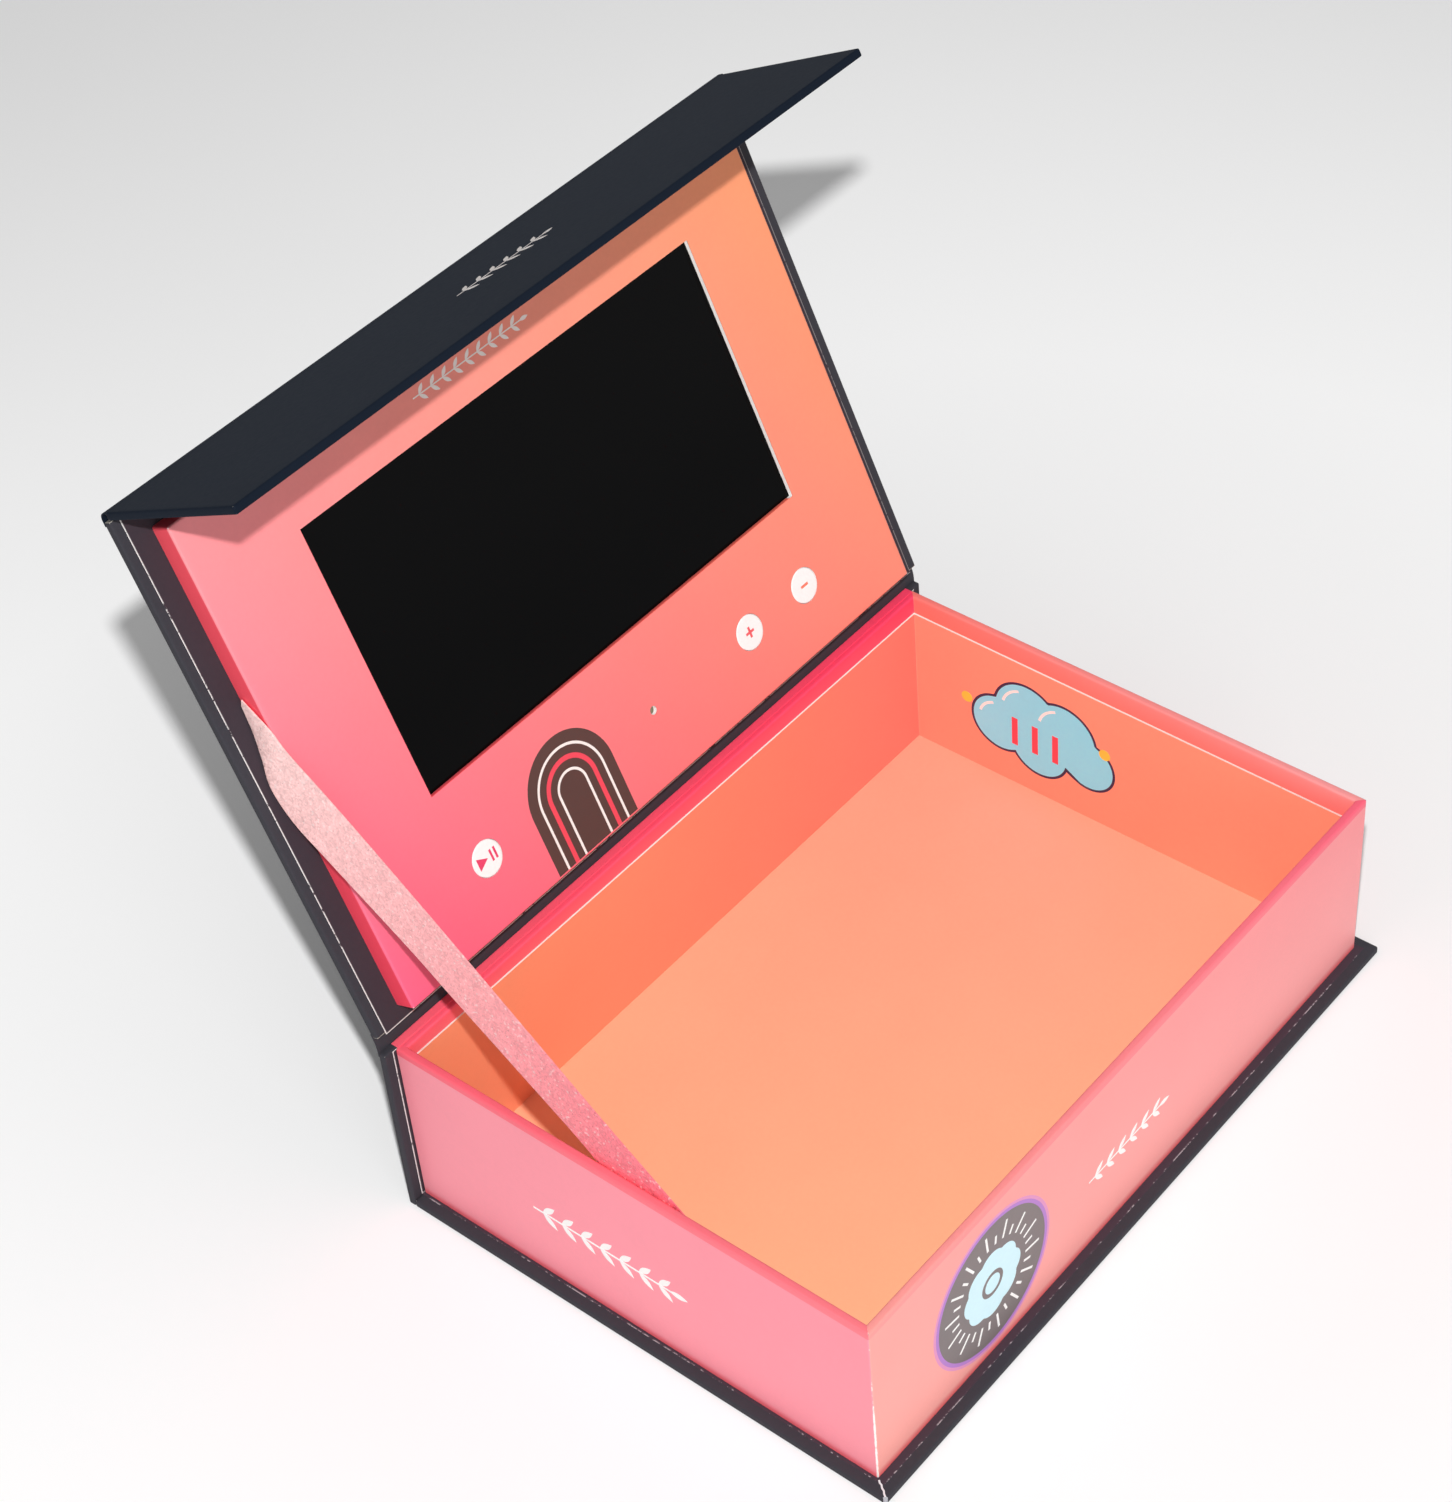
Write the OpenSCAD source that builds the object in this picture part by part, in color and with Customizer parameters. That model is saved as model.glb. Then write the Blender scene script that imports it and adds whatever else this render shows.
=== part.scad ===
// Rigid book-style presentation box with a video screen built into its lid.
// Millimetres. X runs along the lid hinge, Y to the rear, Z up.
// The origin is on the underside of the base board, below the centre of the tray.

/* [Tray] */
// Outer width of the tray, along the lid hinge
tray_w = 230; // [226:1:236]
// Outer depth of the tray, front to rear
tray_d = 160; // [158:1:170]
// Height of the tray walls above the base board
tray_h = 60; // [45:1:75]
// Depth of the turned-in wrap below the rim
rim_turn = 8; // [5:1:15]

/* [Case boards] */
// Thickness of every covered case board
case_t = 2.5; // [2.2:0.1:3]
// Ledge of the base board past the tray's sides
side_ledge = 4; // [2:0.5:6]
// Ledge of the base board past the tray's front
front_ledge = 5.5; // [4:0.5:8]
// Gap between the closed flap's free edge and the base board
flap_clear = 2.8; // [2:0.1:8]
// Angle between the closed lid and the lid held open by its ribbon
lid_angle = 112.8; // [110:0.2:116]
// Angle between the lid and the flap as the open box stands
flap_angle = 86.4; // [60:0.2:90]
// Bare paper between a hinge line and the nearest board
hinge_gap = 2.8; // [2.6:0.1:3.2]

/* [Screen housing] */
// Gap between the closed lid's housing and the tray's side walls
housing_gap = 3.5; // [3:0.1:4]
// Length of the raised housing, away from the hinge
housing_len = 150; // [148:1:150]
// Height of the raised housing above the lid
housing_h = 7; // [7:0.1:7.4]
// Width of the screen window
window_w = 154.2; // [150:0.1:156]
// Height of the screen window
window_len = 83.3; // [80:0.1:86]
// Diameter of each push button's face
button_d = 10.6; // [9:0.1:11]
// Travel of each push button
button_travel = 0.5; // [0.3:0.1:0.5]

/* [Ribbon stay] */
// Thickness of the ribbon
ribbon_t = 0.5; // [0.4:0.1:0.6]

/* [Hidden] */
$fn = 64;

// Covering paper, and the greyboard between two sheets of it
paper_t = 0.2;
board_t = case_t - 2 * paper_t;
// Cuts reach this far past the faces that they open
past = 1;

// Tray
rim_z = case_t + tray_h;
inner_w = tray_w - 2 * case_t;
inner_d = tray_d - 2 * case_t;
board_z = case_t + paper_t;
floor_z = board_z + case_t;
turn_under = 15;
liner_top = rim_z - rim_turn;

// Case
case_w = tray_w + 2 * side_ledge;
base_front = -tray_d / 2 - front_ledge;
spine_front = tray_d / 2;
hinge_y = spine_front + case_t;
lid_lift = 0.3;
hinge_z = rim_z + lid_lift + case_t;
flap_gap = 1.5;
lid_len = hinge_y + tray_d / 2 + flap_gap + case_t;
flap_len = hinge_z - case_t - flap_clear;
lip = 3;
liner_w = case_w - 2 * lip;

// Closing magnets
magnet_d = 12;
magnet_t = 1.5;
magnet_x = 70;
magnet_drop = 25;
magnet_gap = 0.1;

// Housing, in the lid's coordinates: x, a along the lid from the hinge, h out from its outer face
housing_w = inner_w - 2 * housing_gap;
housing_a = 6.5;
housing_top = case_t + housing_h;
panel_t = 1.3;
panel_top = housing_top - paper_t;
panel_under = panel_top - panel_t;
frame_wall = 2.8;

// Screen module, a little left-right offset from the housing's centre
window_x = 1.9;
window_a = 51.9;
glass_w = 164;
glass_len = 97.4;
glass_a = 43.1;
glass_t = 1.2;
backlight_t = 1.9;
fit_gap = 0.3;
glass_under = panel_under - glass_t;
backlight_under = glass_under - backlight_t;

// Circuit board
pcb_x = -73;
pcb_end = housing_w / 2 - frame_wall - 0.6;
pcb_a = 14;
pcb_len = 26;
pcb_top = case_t + 1;
board_pocket_x = -75;
board_pocket_a = 13;

// Push buttons
button_a = 26.8;
play_x = -67.9;
plus_x = 44.8;
minus_x = 70.1;
button_gap = 0.15;
button_under = 7.2;
flange_extra = 2;
flange_t = 0.7;
switch_size = 6;
switch_top = pcb_top + 2.5;
switch_stem_d = 3.5;
switch_stem_top = button_under - button_travel - 0.1;

// Light sensor
sensor_x = 2.4;
sensor_a = 28;
sensor_d = 3;
sensor_hole_d = 2.6;

// Charging port in the housing's right side
port_w = 7.6;
port_len = 5.4;
port_h = 2.7;
port_wall = 0.35;
port_a = 30;
port_gap = 0.1;
port_end = housing_w / 2 - 0.1;

// Battery
battery_w = 90;
battery_len = 46;
battery_t = 2.2;
battery_x = 30;
battery_a = 64;
battery_tab_w = 50;
battery_tab_len = 4;
battery_gap = 0.5;

// Speaker
speaker_d = 28;
speaker_x = -91;
speaker_a = 27;
speaker_t = 4.5;
speaker_tab_a = 18;
speaker_tab_len = 7;
speaker_tab_end = -76.5;

// Leads inside the housing
lead_d = 1;
lead_pitch = 2;
lead_h = pcb_top + 0.55;
battery_lead_x = 32;
battery_plug_a = 34.9;
battery_plug_len = 4.6;
speaker_plug_x = -66;

// Screen flex: where it leaves the screen, dips and meets its connector
flex_x = -25;
flex_w = 40;
flex_t = 0.3;
flex_high = 5.9;
flex_low = 4.3;
flex_plug_end = 39;

// Ribbon edges. Near the lid their points are x, a, h, and near the tray x, y, z.
ribbon_lid_upper = [
    [-109.6, 105.5, 4.2], [-109.6, 102, 6.6], [-109.5, 96.5, 10],
    [-109.4, 89.5, 12.6], [-109.4, 79, 19], [-109.4, 66, 26.6]
];
ribbon_lid_lower = [
    [-109.8, 103.5, 3.1], [-110.4, 95.5, 3.1], [-111.6, 88.5, 3.1],
    [-113.2, 80.5, 3.2], [-113.1, 69.8, 5.4], [-113, 58, 12.6]
];
ribbon_tray_upper = [
    [-109.9, 60, 119.1], [-110.2, 45.7, 108.2], [-111.4, 9.4, 81.6], [-112, -9, 68.7], [-112.2, -27.7, 54.7]
];
ribbon_tray_lower = [
    [-112.1, 69.3, 105.4], [-112.1, 55, 94.8], [-112.1, 18.7, 68.6], [-112.2, 9.5, 61], [-112.2, 1.4, 54.7]
];
ribbon_steps = 4;

// A point of the lid in the base's coordinates
function lid_point(p) = [
    p[0],
    hinge_y - p[1] * cos(lid_angle) - p[2] * sin(lid_angle),
    hinge_z + p[1] * sin(lid_angle) - p[2] * cos(lid_angle)
];

// Point at share t of the span after point i, on a smooth curve through all the points
function curve_point(p, i, t) =
    let (
        a = p[max(i - 1, 0)],
        b = p[i],
        c = p[i + 1],
        d = p[min(i + 2, len(p) - 1)]
    )
    b + (c - a) * t / 2 + (2 * a - 5 * b + 4 * c - d) * t * t / 2 + (3 * b - a - 3 * c + d) * t * t * t / 2;

// The smooth curve through the points, in short steps
function smooth(p) = [
    for (i = [0 : len(p) - 2], k = [0 : ribbon_steps - 1]) curve_point(p, i, k / ribbon_steps),
    p[len(p) - 1]
];

// Places its children on the lid: x, a along the lid, h out from its outer face
module on_lid() {
    translate([0, hinge_y, hinge_z])
    rotate([180 - lid_angle, 0, 0])
    children();
}

// Places its children on the flap, in the same way, from the flap's own hinge line
module on_flap() {
    on_lid()
    translate([0, lid_len, 0])
    rotate([flap_angle, 0, 0])
    children();
}

// Box between two values of each coordinate
module span(x, y, z) {
    translate([x[0], y[0], z[0]])
    cube([x[1] - x[0], y[1] - y[0], z[1] - z[0]]);
}

// Box of width w, centred on x
module slab(w, y, z) {
    span([-w / 2, w / 2], y, z);
}

// Rectangular sleeve round the Z axis, between two heights
module ring(outer, inner, z) {
    difference() {
        slab(outer[0], [-outer[1] / 2, outer[1] / 2], z);
        slab(inner[0], [-inner[1] / 2, inner[1] / 2], [z[0] - past, z[1] + past]);
    }
}

// Two plies of paper bent over a hinge line on the X axis, arriving along Y and turned towards Z
module bent_strip(turn) {
    plies = 2 * paper_t;
    out = hinge_gap * [cos(turn), sin(turn)];
    translate([-case_w / 2, 0, 0])
    rotate([90, 0, 90])
    linear_extrude(case_w)
    polygon([
        [-hinge_gap, 0], [0, 0], out, out + plies * [-sin(turn), cos(turn)],
        plies * [-tan(turn / 2), 1], [-hinge_gap, plies]
    ]);
}

// Row of two discs, d across, sunk depth deep from the face at the origin into +Z
module magnet_pair(d, depth) {
    for (side = [-1, 1])
        translate([side * magnet_x, 0, 0])
        cylinder(d = d, h = depth);
}

// Case, base side

module base_board() {
    color("#6d6a66")
    slab(case_w - 2 * paper_t, [base_front + paper_t, spine_front - paper_t], [paper_t, case_t - paper_t]);
}

module base_wrap() {
    color("#463a44")
    difference() {
        union() {
            slab(case_w, [base_front, spine_front], [0, case_t]);
            slab(case_w, [base_front, hinge_y], [0, paper_t]);
        }
        slab(case_w - 2 * paper_t, [base_front + paper_t, spine_front - paper_t], [paper_t, case_t - paper_t]);
        slab(liner_w, [base_front + lip, spine_front + past], [case_t - paper_t, case_t + past]);
    }
}

// Lining paper on the base and up the spine, glued below and behind the tray
module base_liner() {
    color("#544650") {
        slab(liner_w, [base_front + lip, spine_front + paper_t], [case_t - paper_t, case_t]);
        slab(liner_w, [spine_front, spine_front + paper_t], [case_t - paper_t, rim_z]);
    }
}

module spine_core() {
    slab(case_w - 2 * paper_t, [spine_front + paper_t, hinge_y - paper_t], [2 * paper_t, rim_z - paper_t]);
}

module spine_board() {
    color("#6d6a66")
    spine_core();
}

module spine_wrap() {
    color("#463a44")
    difference() {
        slab(case_w, [spine_front, hinge_y], [paper_t, rim_z]);
        spine_core();
        slab(liner_w, [spine_front - past, spine_front + paper_t], [case_t - paper_t, rim_z + past]);
    }
}

// Tray

module tray_floor() {
    color("#8d8880")
    slab(inner_w + 2 * paper_t, [-inner_d / 2 - paper_t, inner_d / 2 + paper_t], [board_z, floor_z]);
}

module side_wall(side) {
    color("#8d8880")
    translate([side * (inner_w + case_t) / 2, 0, 0])
    slab(board_t, [-inner_d / 2 - paper_t, inner_d / 2 + paper_t], [board_z, rim_z - paper_t]);
}

module long_wall(side) {
    color("#8d8880")
    translate([0, side * (inner_d + case_t) / 2, 0])
    slab(tray_w - 2 * paper_t, [-board_t / 2, board_t / 2], [board_z, rim_z - paper_t]);
}

// Places the magnets' faces on the front wall's board
module on_front_wall() {
    translate([0, paper_t - tray_d / 2, hinge_z - magnet_drop])
    rotate([-90, 0, 0])
    children();
}

module tray_wall_left() {
    side_wall(-1);
}

module tray_wall_right() {
    side_wall(1);
}

module tray_wall_front() {
    difference() {
        long_wall(-1);
        on_front_wall()
        translate([0, 0, -past])
        magnet_pair(magnet_d + 2 * magnet_gap, past + magnet_t);
    }
}

module tray_wall_rear() {
    long_wall(1);
}

module tray_magnets() {
    color("silver")
    on_front_wall()
    magnet_pair(magnet_d, magnet_t);
}

// Outer wrap: over the walls, over the rim, down inside it, and under the tray's edge
module tray_wrap() {
    board_w = tray_w - 2 * paper_t;
    board_d = tray_d - 2 * paper_t;
    color("#ff96a4") {
        ring([tray_w, tray_d], [board_w, board_d], [case_t, rim_z]);
        ring([board_w + paper_t, board_d + paper_t], [inner_w, inner_d], [rim_z - paper_t, rim_z]);
        ring([inner_w + 2 * paper_t, inner_d + 2 * paper_t], [inner_w, inner_d], [liner_top, rim_z]);
        ring(
            [board_w + paper_t, board_d + paper_t],
            [tray_w - 2 * turn_under, tray_d - 2 * turn_under],
            [case_t, board_z]
        );
    }
}

module tray_wall_liner() {
    color("#ff8260")
    ring([inner_w + 2 * paper_t, inner_d + 2 * paper_t], [inner_w, inner_d], [floor_z + paper_t, liner_top]);
}

module tray_floor_liner() {
    color("#ffa884")
    slab(inner_w, [-inner_d / 2, inner_d / 2], [floor_z, floor_z + paper_t]);
}

// Lid

module lid_hinge_strip() {
    color("#463a44")
    translate([0, hinge_y, hinge_z])
    rotate([90, 0, 0])
    bent_strip(90 - lid_angle);
}

module lid_board() {
    color("#6d6a66")
    on_lid()
    slab(case_w - 2 * paper_t, [hinge_gap, lid_len - hinge_gap], [paper_t, case_t - paper_t]);
}

module lid_wrap() {
    color("#463a44")
    on_lid()
    difference() {
        slab(case_w, [hinge_gap, lid_len - hinge_gap], [0, case_t]);
        slab(case_w - 2 * paper_t, [0, lid_len], [paper_t, case_t - paper_t]);
        slab(liner_w, [0, lid_len], [paper_t, case_t + past]);
    }
}

module lid_liner() {
    color("#544650")
    on_lid()
    slab(liner_w, [hinge_gap, lid_len - hinge_gap], [case_t - paper_t, case_t]);
}

// Screen housing on the lid

// The charging port's opening, a gap wider all round
module port_slot() {
    span(
        [pcb_end, housing_w / 2 + past],
        [port_a - port_w / 2 - port_gap, port_a + port_w / 2 + port_gap],
        [pcb_top - port_gap, pcb_top + port_h + port_gap]
    );
}

// Everything that is cut through the panel and its wrap
module panel_cuts() {
    depth = [panel_under - past, housing_top + past];
    translate([window_x, 0, 0])
    slab(window_w, [window_a, window_a + window_len], depth);
    for (x = [play_x, plus_x, minus_x])
        translate([x, button_a, depth[0]])
        cylinder(d = button_d + 2 * button_gap, h = depth[1] - depth[0]);
    translate([sensor_x, sensor_a, depth[0]])
    cylinder(d = sensor_hole_d, h = depth[1] - depth[0]);
}

module housing_frame() {
    through = [case_t - past, panel_under + past];
    color("#3a3a3d")
    on_lid()
    difference() {
        slab(housing_w - 2 * paper_t, [housing_a + paper_t, housing_a + housing_len - paper_t],
            [case_t, panel_under]);
        translate([window_x, 0, 0])
        slab(glass_w + 2 * fit_gap, [glass_a - fit_gap, glass_a + glass_len + fit_gap], through);
        span([board_pocket_x, pcb_end + fit_gap], [board_pocket_a, glass_a], through);
        translate([speaker_x, speaker_a, through[0]])
        cylinder(d = speaker_d + 2 * fit_gap, h = through[1] - through[0]);
        span([speaker_x, pcb_x], [speaker_tab_a - 4, speaker_tab_a + 4], through);
        port_slot();
    }
}

module housing_panel() {
    color("#d8d2c8")
    on_lid()
    difference() {
        slab(housing_w - 2 * paper_t, [housing_a + paper_t, housing_a + housing_len - paper_t],
            [panel_under, panel_top]);
        panel_cuts();
    }
}

module housing_wrap() {
    color("#ff8a8c")
    on_lid()
    difference() {
        slab(housing_w, [housing_a, housing_a + housing_len], [case_t, housing_top]);
        slab(housing_w - 2 * paper_t, [housing_a + paper_t, housing_a + housing_len - paper_t],
            [case_t - past, panel_top]);
        panel_cuts();
        port_slot();
    }
}

// Inside the housing

module screen_glass() {
    color("#121214")
    on_lid()
    translate([window_x, 0, 0])
    slab(glass_w, [glass_a, glass_a + glass_len], [glass_under, panel_under]);
}

module screen_backlight() {
    color("silver")
    on_lid()
    translate([window_x, 0, 0])
    slab(glass_w, [glass_a, glass_a + glass_len], [backlight_under, glass_under]);
}

module screen_pad() {
    color("#5a5a5e")
    on_lid()
    difference() {
        translate([window_x, 0, 0])
        slab(glass_w, [glass_a, glass_a + glass_len], [case_t, backlight_under]);
        translate([battery_x, 0, -past])
        slab(
            battery_w + 2 * battery_gap,
            [battery_a - battery_tab_len - battery_gap, battery_a + battery_len + battery_gap],
            [case_t, panel_under]
        );
        translate([battery_lead_x, 0, -past])
        slab(lead_pitch + 4 * lead_d, [glass_a - past, battery_a], [case_t, panel_under]);
    }
}

module screen_flex() {
    color("#b5772f")
    on_lid()
    translate([flex_x - flex_w / 2, 0, 0])
    rotate([90, 0, 90])
    linear_extrude(flex_w)
    polygon([
        [glass_a, flex_high + flex_t], [glass_a - 1, flex_high + flex_t],
        [flex_plug_end + 1, flex_low + flex_t], [flex_plug_end, flex_low + flex_t],
        [flex_plug_end, flex_low], [flex_plug_end + 1.1, flex_low],
        [glass_a - 0.9, flex_high], [glass_a, flex_high]
    ]);
}

module main_board() {
    color("#1f6b3f")
    on_lid()
    span([pcb_x, pcb_end], [pcb_a, pcb_a + pcb_len], [case_t, pcb_top]);
}

// Block of width w and length l, centred at x and a, standing t high on the circuit board
module chip(x, a, w, l, t) {
    span([x - w / 2, x + w / 2], [a - l / 2, a + l / 2], [pcb_top, pcb_top + t]);
}

module board_chips() {
    color("#232326")
    on_lid() {
        chip(-25, 22, 14, 14, 1.4);
        chip(-6, 21, 8, 12, 1.2);
        chip(14, 20, 10, 8, 1.5);
        chip(27, 21, 6, 6, 2.5);
        chip(57, 20, 5, 3, 1.2);
        chip(88, 22, 6, 5, 1.5);
        chip(flex_x, flex_plug_end - 1.5, flex_w + 2, 3, 1.6);
        chip(battery_lead_x, battery_plug_a + battery_plug_len / 2, 8, battery_plug_len, 2.5);
        chip(speaker_plug_x + 2, speaker_tab_a, 4, 7, 2);
    }
}

module switch_set() {
    color("#3c3c40")
    on_lid()
    for (x = [play_x, plus_x, minus_x])
        translate([x, button_a, 0]) {
            slab(switch_size, [-switch_size / 2, switch_size / 2], [pcb_top, switch_top]);
            translate([0, 0, pcb_top])
            cylinder(d = switch_stem_d, h = switch_stem_top - pcb_top);
        }
}

module light_sensor() {
    color("#2a2a2a")
    on_lid()
    translate([sensor_x, sensor_a, pcb_top])
    cylinder(d = sensor_d, h = panel_under - 0.2 - pcb_top);
}

// Steel shell with its contact tongue
module usb_port() {
    color("silver")
    on_lid()
    translate([port_end - port_len, port_a, pcb_top]) {
        difference() {
            span([0, port_len], [-port_w / 2, port_w / 2], [0, port_h]);
            span([1, port_len + past], [port_wall - port_w / 2, port_w / 2 - port_wall], [port_wall, port_h - port_wall]);
        }
        span([0.5, port_len - 1], [-2.3, 2.3], [1.4, 2]);
    }
}

module battery() {
    color("#c9cbd0")
    on_lid()
    translate([battery_x, 0, 0]) {
        slab(battery_w, [battery_a, battery_a + battery_len], [case_t, case_t + battery_t]);
        slab(battery_tab_w, [battery_a - battery_tab_len, battery_a + past], [case_t, case_t + battery_t]);
    }
}

module battery_leads() {
    plug_end = battery_plug_a + battery_plug_len;
    color("firebrick")
    on_lid()
    for (side = [-1, 1])
        translate([battery_lead_x + side * lead_pitch / 2, plug_end, lead_h])
        rotate([-90, 0, 0])
        cylinder(d = lead_d, h = battery_a - battery_tab_len - plug_end);
}

module speaker() {
    color("#4a4a4e")
    on_lid() {
        translate([speaker_x, speaker_a, case_t])
        cylinder(d = speaker_d, h = speaker_t);
        span(
            [speaker_x, speaker_tab_end],
            [speaker_tab_a - speaker_tab_len / 2, speaker_tab_a + speaker_tab_len / 2],
            [case_t + 0.5, case_t + 2.5]
        );
    }
}

module speaker_leads() {
    color("black")
    on_lid()
    for (side = [-1, 1])
        translate([speaker_tab_end, speaker_tab_a + side * lead_pitch / 2, lead_h])
        rotate([0, 90, 0])
        cylinder(d = lead_d, h = speaker_plug_x - speaker_tab_end);
}

// Flat ribbon that stops the lid, from the housing's left side to the tray's left wall
module ribbon() {
    upper = smooth(concat([for (p = ribbon_lid_upper) lid_point(p)], ribbon_tray_upper));
    lower = smooth(concat([for (p = ribbon_lid_lower) lid_point(p)], ribbon_tray_lower));
    last = len(upper) - 1;
    function face_out(i) =
        let (
            along = upper[min(i + 1, last)] - upper[max(i - 1, 0)],
            out = cross(lower[i] - upper[i], along)
        )
        out / norm(out) * ribbon_t / 2;
    corners = [
        for (i = [0 : last])
            each [
                upper[i] + face_out(i), lower[i] + face_out(i),
                lower[i] - face_out(i), upper[i] - face_out(i)
            ]
    ];
    sides = [
        for (i = [0 : last - 1], k = [0 : 3])
            let (a = 4 * i + k, b = 4 * i + (k + 1) % 4)
            each [[a, b, b + 4], [a, b + 4, a + 4]]
    ];
    first_end = [[0, 2, 1], [0, 3, 2]];
    last_end = [[0, 1, 2] + 4 * last * [1, 1, 1], [0, 2, 3] + 4 * last * [1, 1, 1]];
    color("#ff9aa6")
    polyhedron(corners, concat(sides, first_end, last_end));
}

// Flap

module flap_hinge_strip() {
    color("#463a44")
    on_lid()
    translate([0, lid_len, 0])
    bent_strip(flap_angle);
}

module flap_board() {
    color("#6d6a66")
    on_flap()
    difference() {
        slab(case_w - 2 * paper_t, [hinge_gap, flap_len - paper_t], [paper_t, case_t - paper_t]);
        translate([0, magnet_drop, case_t - paper_t - magnet_t])
        magnet_pair(magnet_d + 2 * magnet_gap, magnet_t + past);
    }
}

module flap_wrap() {
    color("#20283a")
    on_flap()
    difference() {
        slab(case_w, [hinge_gap, flap_len], [0, case_t]);
        slab(case_w - 2 * paper_t, [0, flap_len - paper_t], [paper_t, case_t - paper_t]);
        slab(liner_w, [0, flap_len - lip], [paper_t, case_t + past]);
    }
}

module flap_liner() {
    color("#544650")
    on_flap()
    slab(liner_w, [hinge_gap, flap_len - lip], [case_t - paper_t, case_t]);
}

module flap_magnets() {
    color("silver")
    on_flap()
    translate([0, magnet_drop, case_t - paper_t - magnet_t])
    magnet_pair(magnet_d, magnet_t);
}

// Push buttons

// Button cap with a hidden flange that keeps it in the panel
module push_button(x) {
    color("white")
    on_lid()
    translate([x, button_a, button_under]) {
        cylinder(d = button_d, h = housing_top - button_under);
        cylinder(d = button_d + flange_extra, h = flange_t);
    }
}

module play_button() {
    push_button(play_x);
}

module plus_button() {
    push_button(plus_x);
}

module minus_button() {
    push_button(minus_x);
}

base_board();
base_wrap();
base_liner();
spine_board();
spine_wrap();
tray_floor();
tray_wall_left();
tray_wall_right();
tray_wall_front();
tray_wall_rear();
tray_wrap();
tray_wall_liner();
tray_floor_liner();
tray_magnets();
lid_hinge_strip();
lid_board();
lid_wrap();
lid_liner();
housing_frame();
housing_panel();
housing_wrap();
screen_glass();
screen_backlight();
screen_pad();
screen_flex();
main_board();
board_chips();
switch_set();
light_sensor();
usb_port();
battery();
battery_leads();
speaker();
speaker_leads();
ribbon();
flap_hinge_strip();
flap_board();
flap_wrap();
flap_liner();
flap_magnets();
play_button();
plus_button();
minus_button();
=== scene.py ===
import math

import bpy
import numpy as np
from mathutils import Matrix


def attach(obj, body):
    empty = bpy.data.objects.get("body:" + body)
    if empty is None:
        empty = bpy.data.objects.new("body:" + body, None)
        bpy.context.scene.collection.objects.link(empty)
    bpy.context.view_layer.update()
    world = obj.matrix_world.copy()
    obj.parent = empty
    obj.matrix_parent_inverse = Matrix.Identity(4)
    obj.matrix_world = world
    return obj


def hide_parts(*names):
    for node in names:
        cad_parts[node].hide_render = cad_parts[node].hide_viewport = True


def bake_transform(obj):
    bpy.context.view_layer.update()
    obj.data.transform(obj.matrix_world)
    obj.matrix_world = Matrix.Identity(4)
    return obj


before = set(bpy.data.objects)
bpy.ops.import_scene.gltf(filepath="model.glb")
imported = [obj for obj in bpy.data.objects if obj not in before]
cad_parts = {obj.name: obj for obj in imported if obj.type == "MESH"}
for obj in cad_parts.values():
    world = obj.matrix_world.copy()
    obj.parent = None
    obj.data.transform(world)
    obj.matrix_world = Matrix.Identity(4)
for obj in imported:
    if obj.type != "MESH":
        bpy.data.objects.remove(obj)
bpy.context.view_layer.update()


# The view
# A long lens from the front left looks down into the open box, as in the photograph.
# The four vectors are the camera's place and its right, down and ahead directions.

eye = (-0.48936, -0.40182, 0.71865)
to_right = (0.63215, -0.77161, -0.07072)
to_bottom = (-0.56046, -0.39232, -0.72936)
ahead = (0.53503, 0.50070, -0.68047)


def put_in(name, data):
    """A new object in the scene."""
    made = bpy.data.objects.new(name, data)
    bpy.context.scene.collection.objects.link(made)
    return made


view = put_in("view", bpy.data.cameras.new("view"))
view.matrix_world = Matrix(
    [[to_right[k], -to_bottom[k], -ahead[k], eye[k]] for k in range(3)] + [[0, 0, 0, 1]]
)
view.data.sensor_width = 36
view.data.lens = 79.43
view.data.clip_start = 0.05
bpy.context.scene.camera = view


# Greyboards
# Every wall and cover of the box is cut from 2.1 mm greyboard, a pressed board of waste paper.
# Its fibres show on the cut edges, which the paper hides once the box is made up.

mm = 0.001


def ink(red, green, blue):
    """A colour of 0 to 255 as a screen shows it, as the light it stands for."""
    shown = np.array([red, green, blue]) / 255
    light = np.where(shown <= 0.04045, shown / 12.92, ((shown + 0.055) / 1.055) ** 2.4)
    return (*light.tolist(), 1.0)


def shader_node(tree, kind, sockets=None, **settings):
    """Adds one node. Sockets are its inputs, by name or number: a value, or the output that feeds it."""
    made = tree.nodes.new("ShaderNode" + kind)
    for key, value in settings.items():
        setattr(made, key, value)
    for key, value in (sockets or {}).items():
        if isinstance(value, bpy.types.NodeSocket):
            tree.links.new(value, made.inputs[key])
        else:
            made.inputs[key].default_value = value
    return made


def place_on(tree):
    """The place on the piece, in metres."""
    return shader_node(tree, "TexCoord").outputs["Object"]


def noise(tree, scale, detail, at=None, **more):
    """Smooth noise of 0 to 1 over the piece or at other places, with that many lumps to the metre."""
    sockets = {label.title(): value for label, value in more.items()}
    sockets.update(Vector=at or place_on(tree), Scale=scale, Detail=detail)
    return shader_node(tree, "TexNoise", sockets).outputs["Fac"]


def ramp(tree, value, low, high, low_to=0.0, high_to=1.0, **settings):
    """Carries the span low to high over to low_to to high_to, and holds it there beyond its ends."""
    sockets = {"Value": value, "From Min": low, "From Max": high, "To Min": low_to, "To Max": high_to}
    return shader_node(tree, "MapRange", sockets, **settings).outputs["Result"]


def calc(tree, operation, a, b):
    """Two numbers added, subtracted, multiplied or compared."""
    return shader_node(tree, "Math", {0: a, 1: b}, operation=operation).outputs[0]


def mix(tree, share, under, over, kind="RGBA"):
    """Two colours, or two numbers where the kind is FLOAT, mixed by a share of 0 to 1 of the second."""
    first, out = (6, 2) if kind == "RGBA" else (2, 0)
    return shader_node(tree, "Mix", {0: share, first: under, first + 1: over}, data_type=kind).outputs[out]


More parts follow.
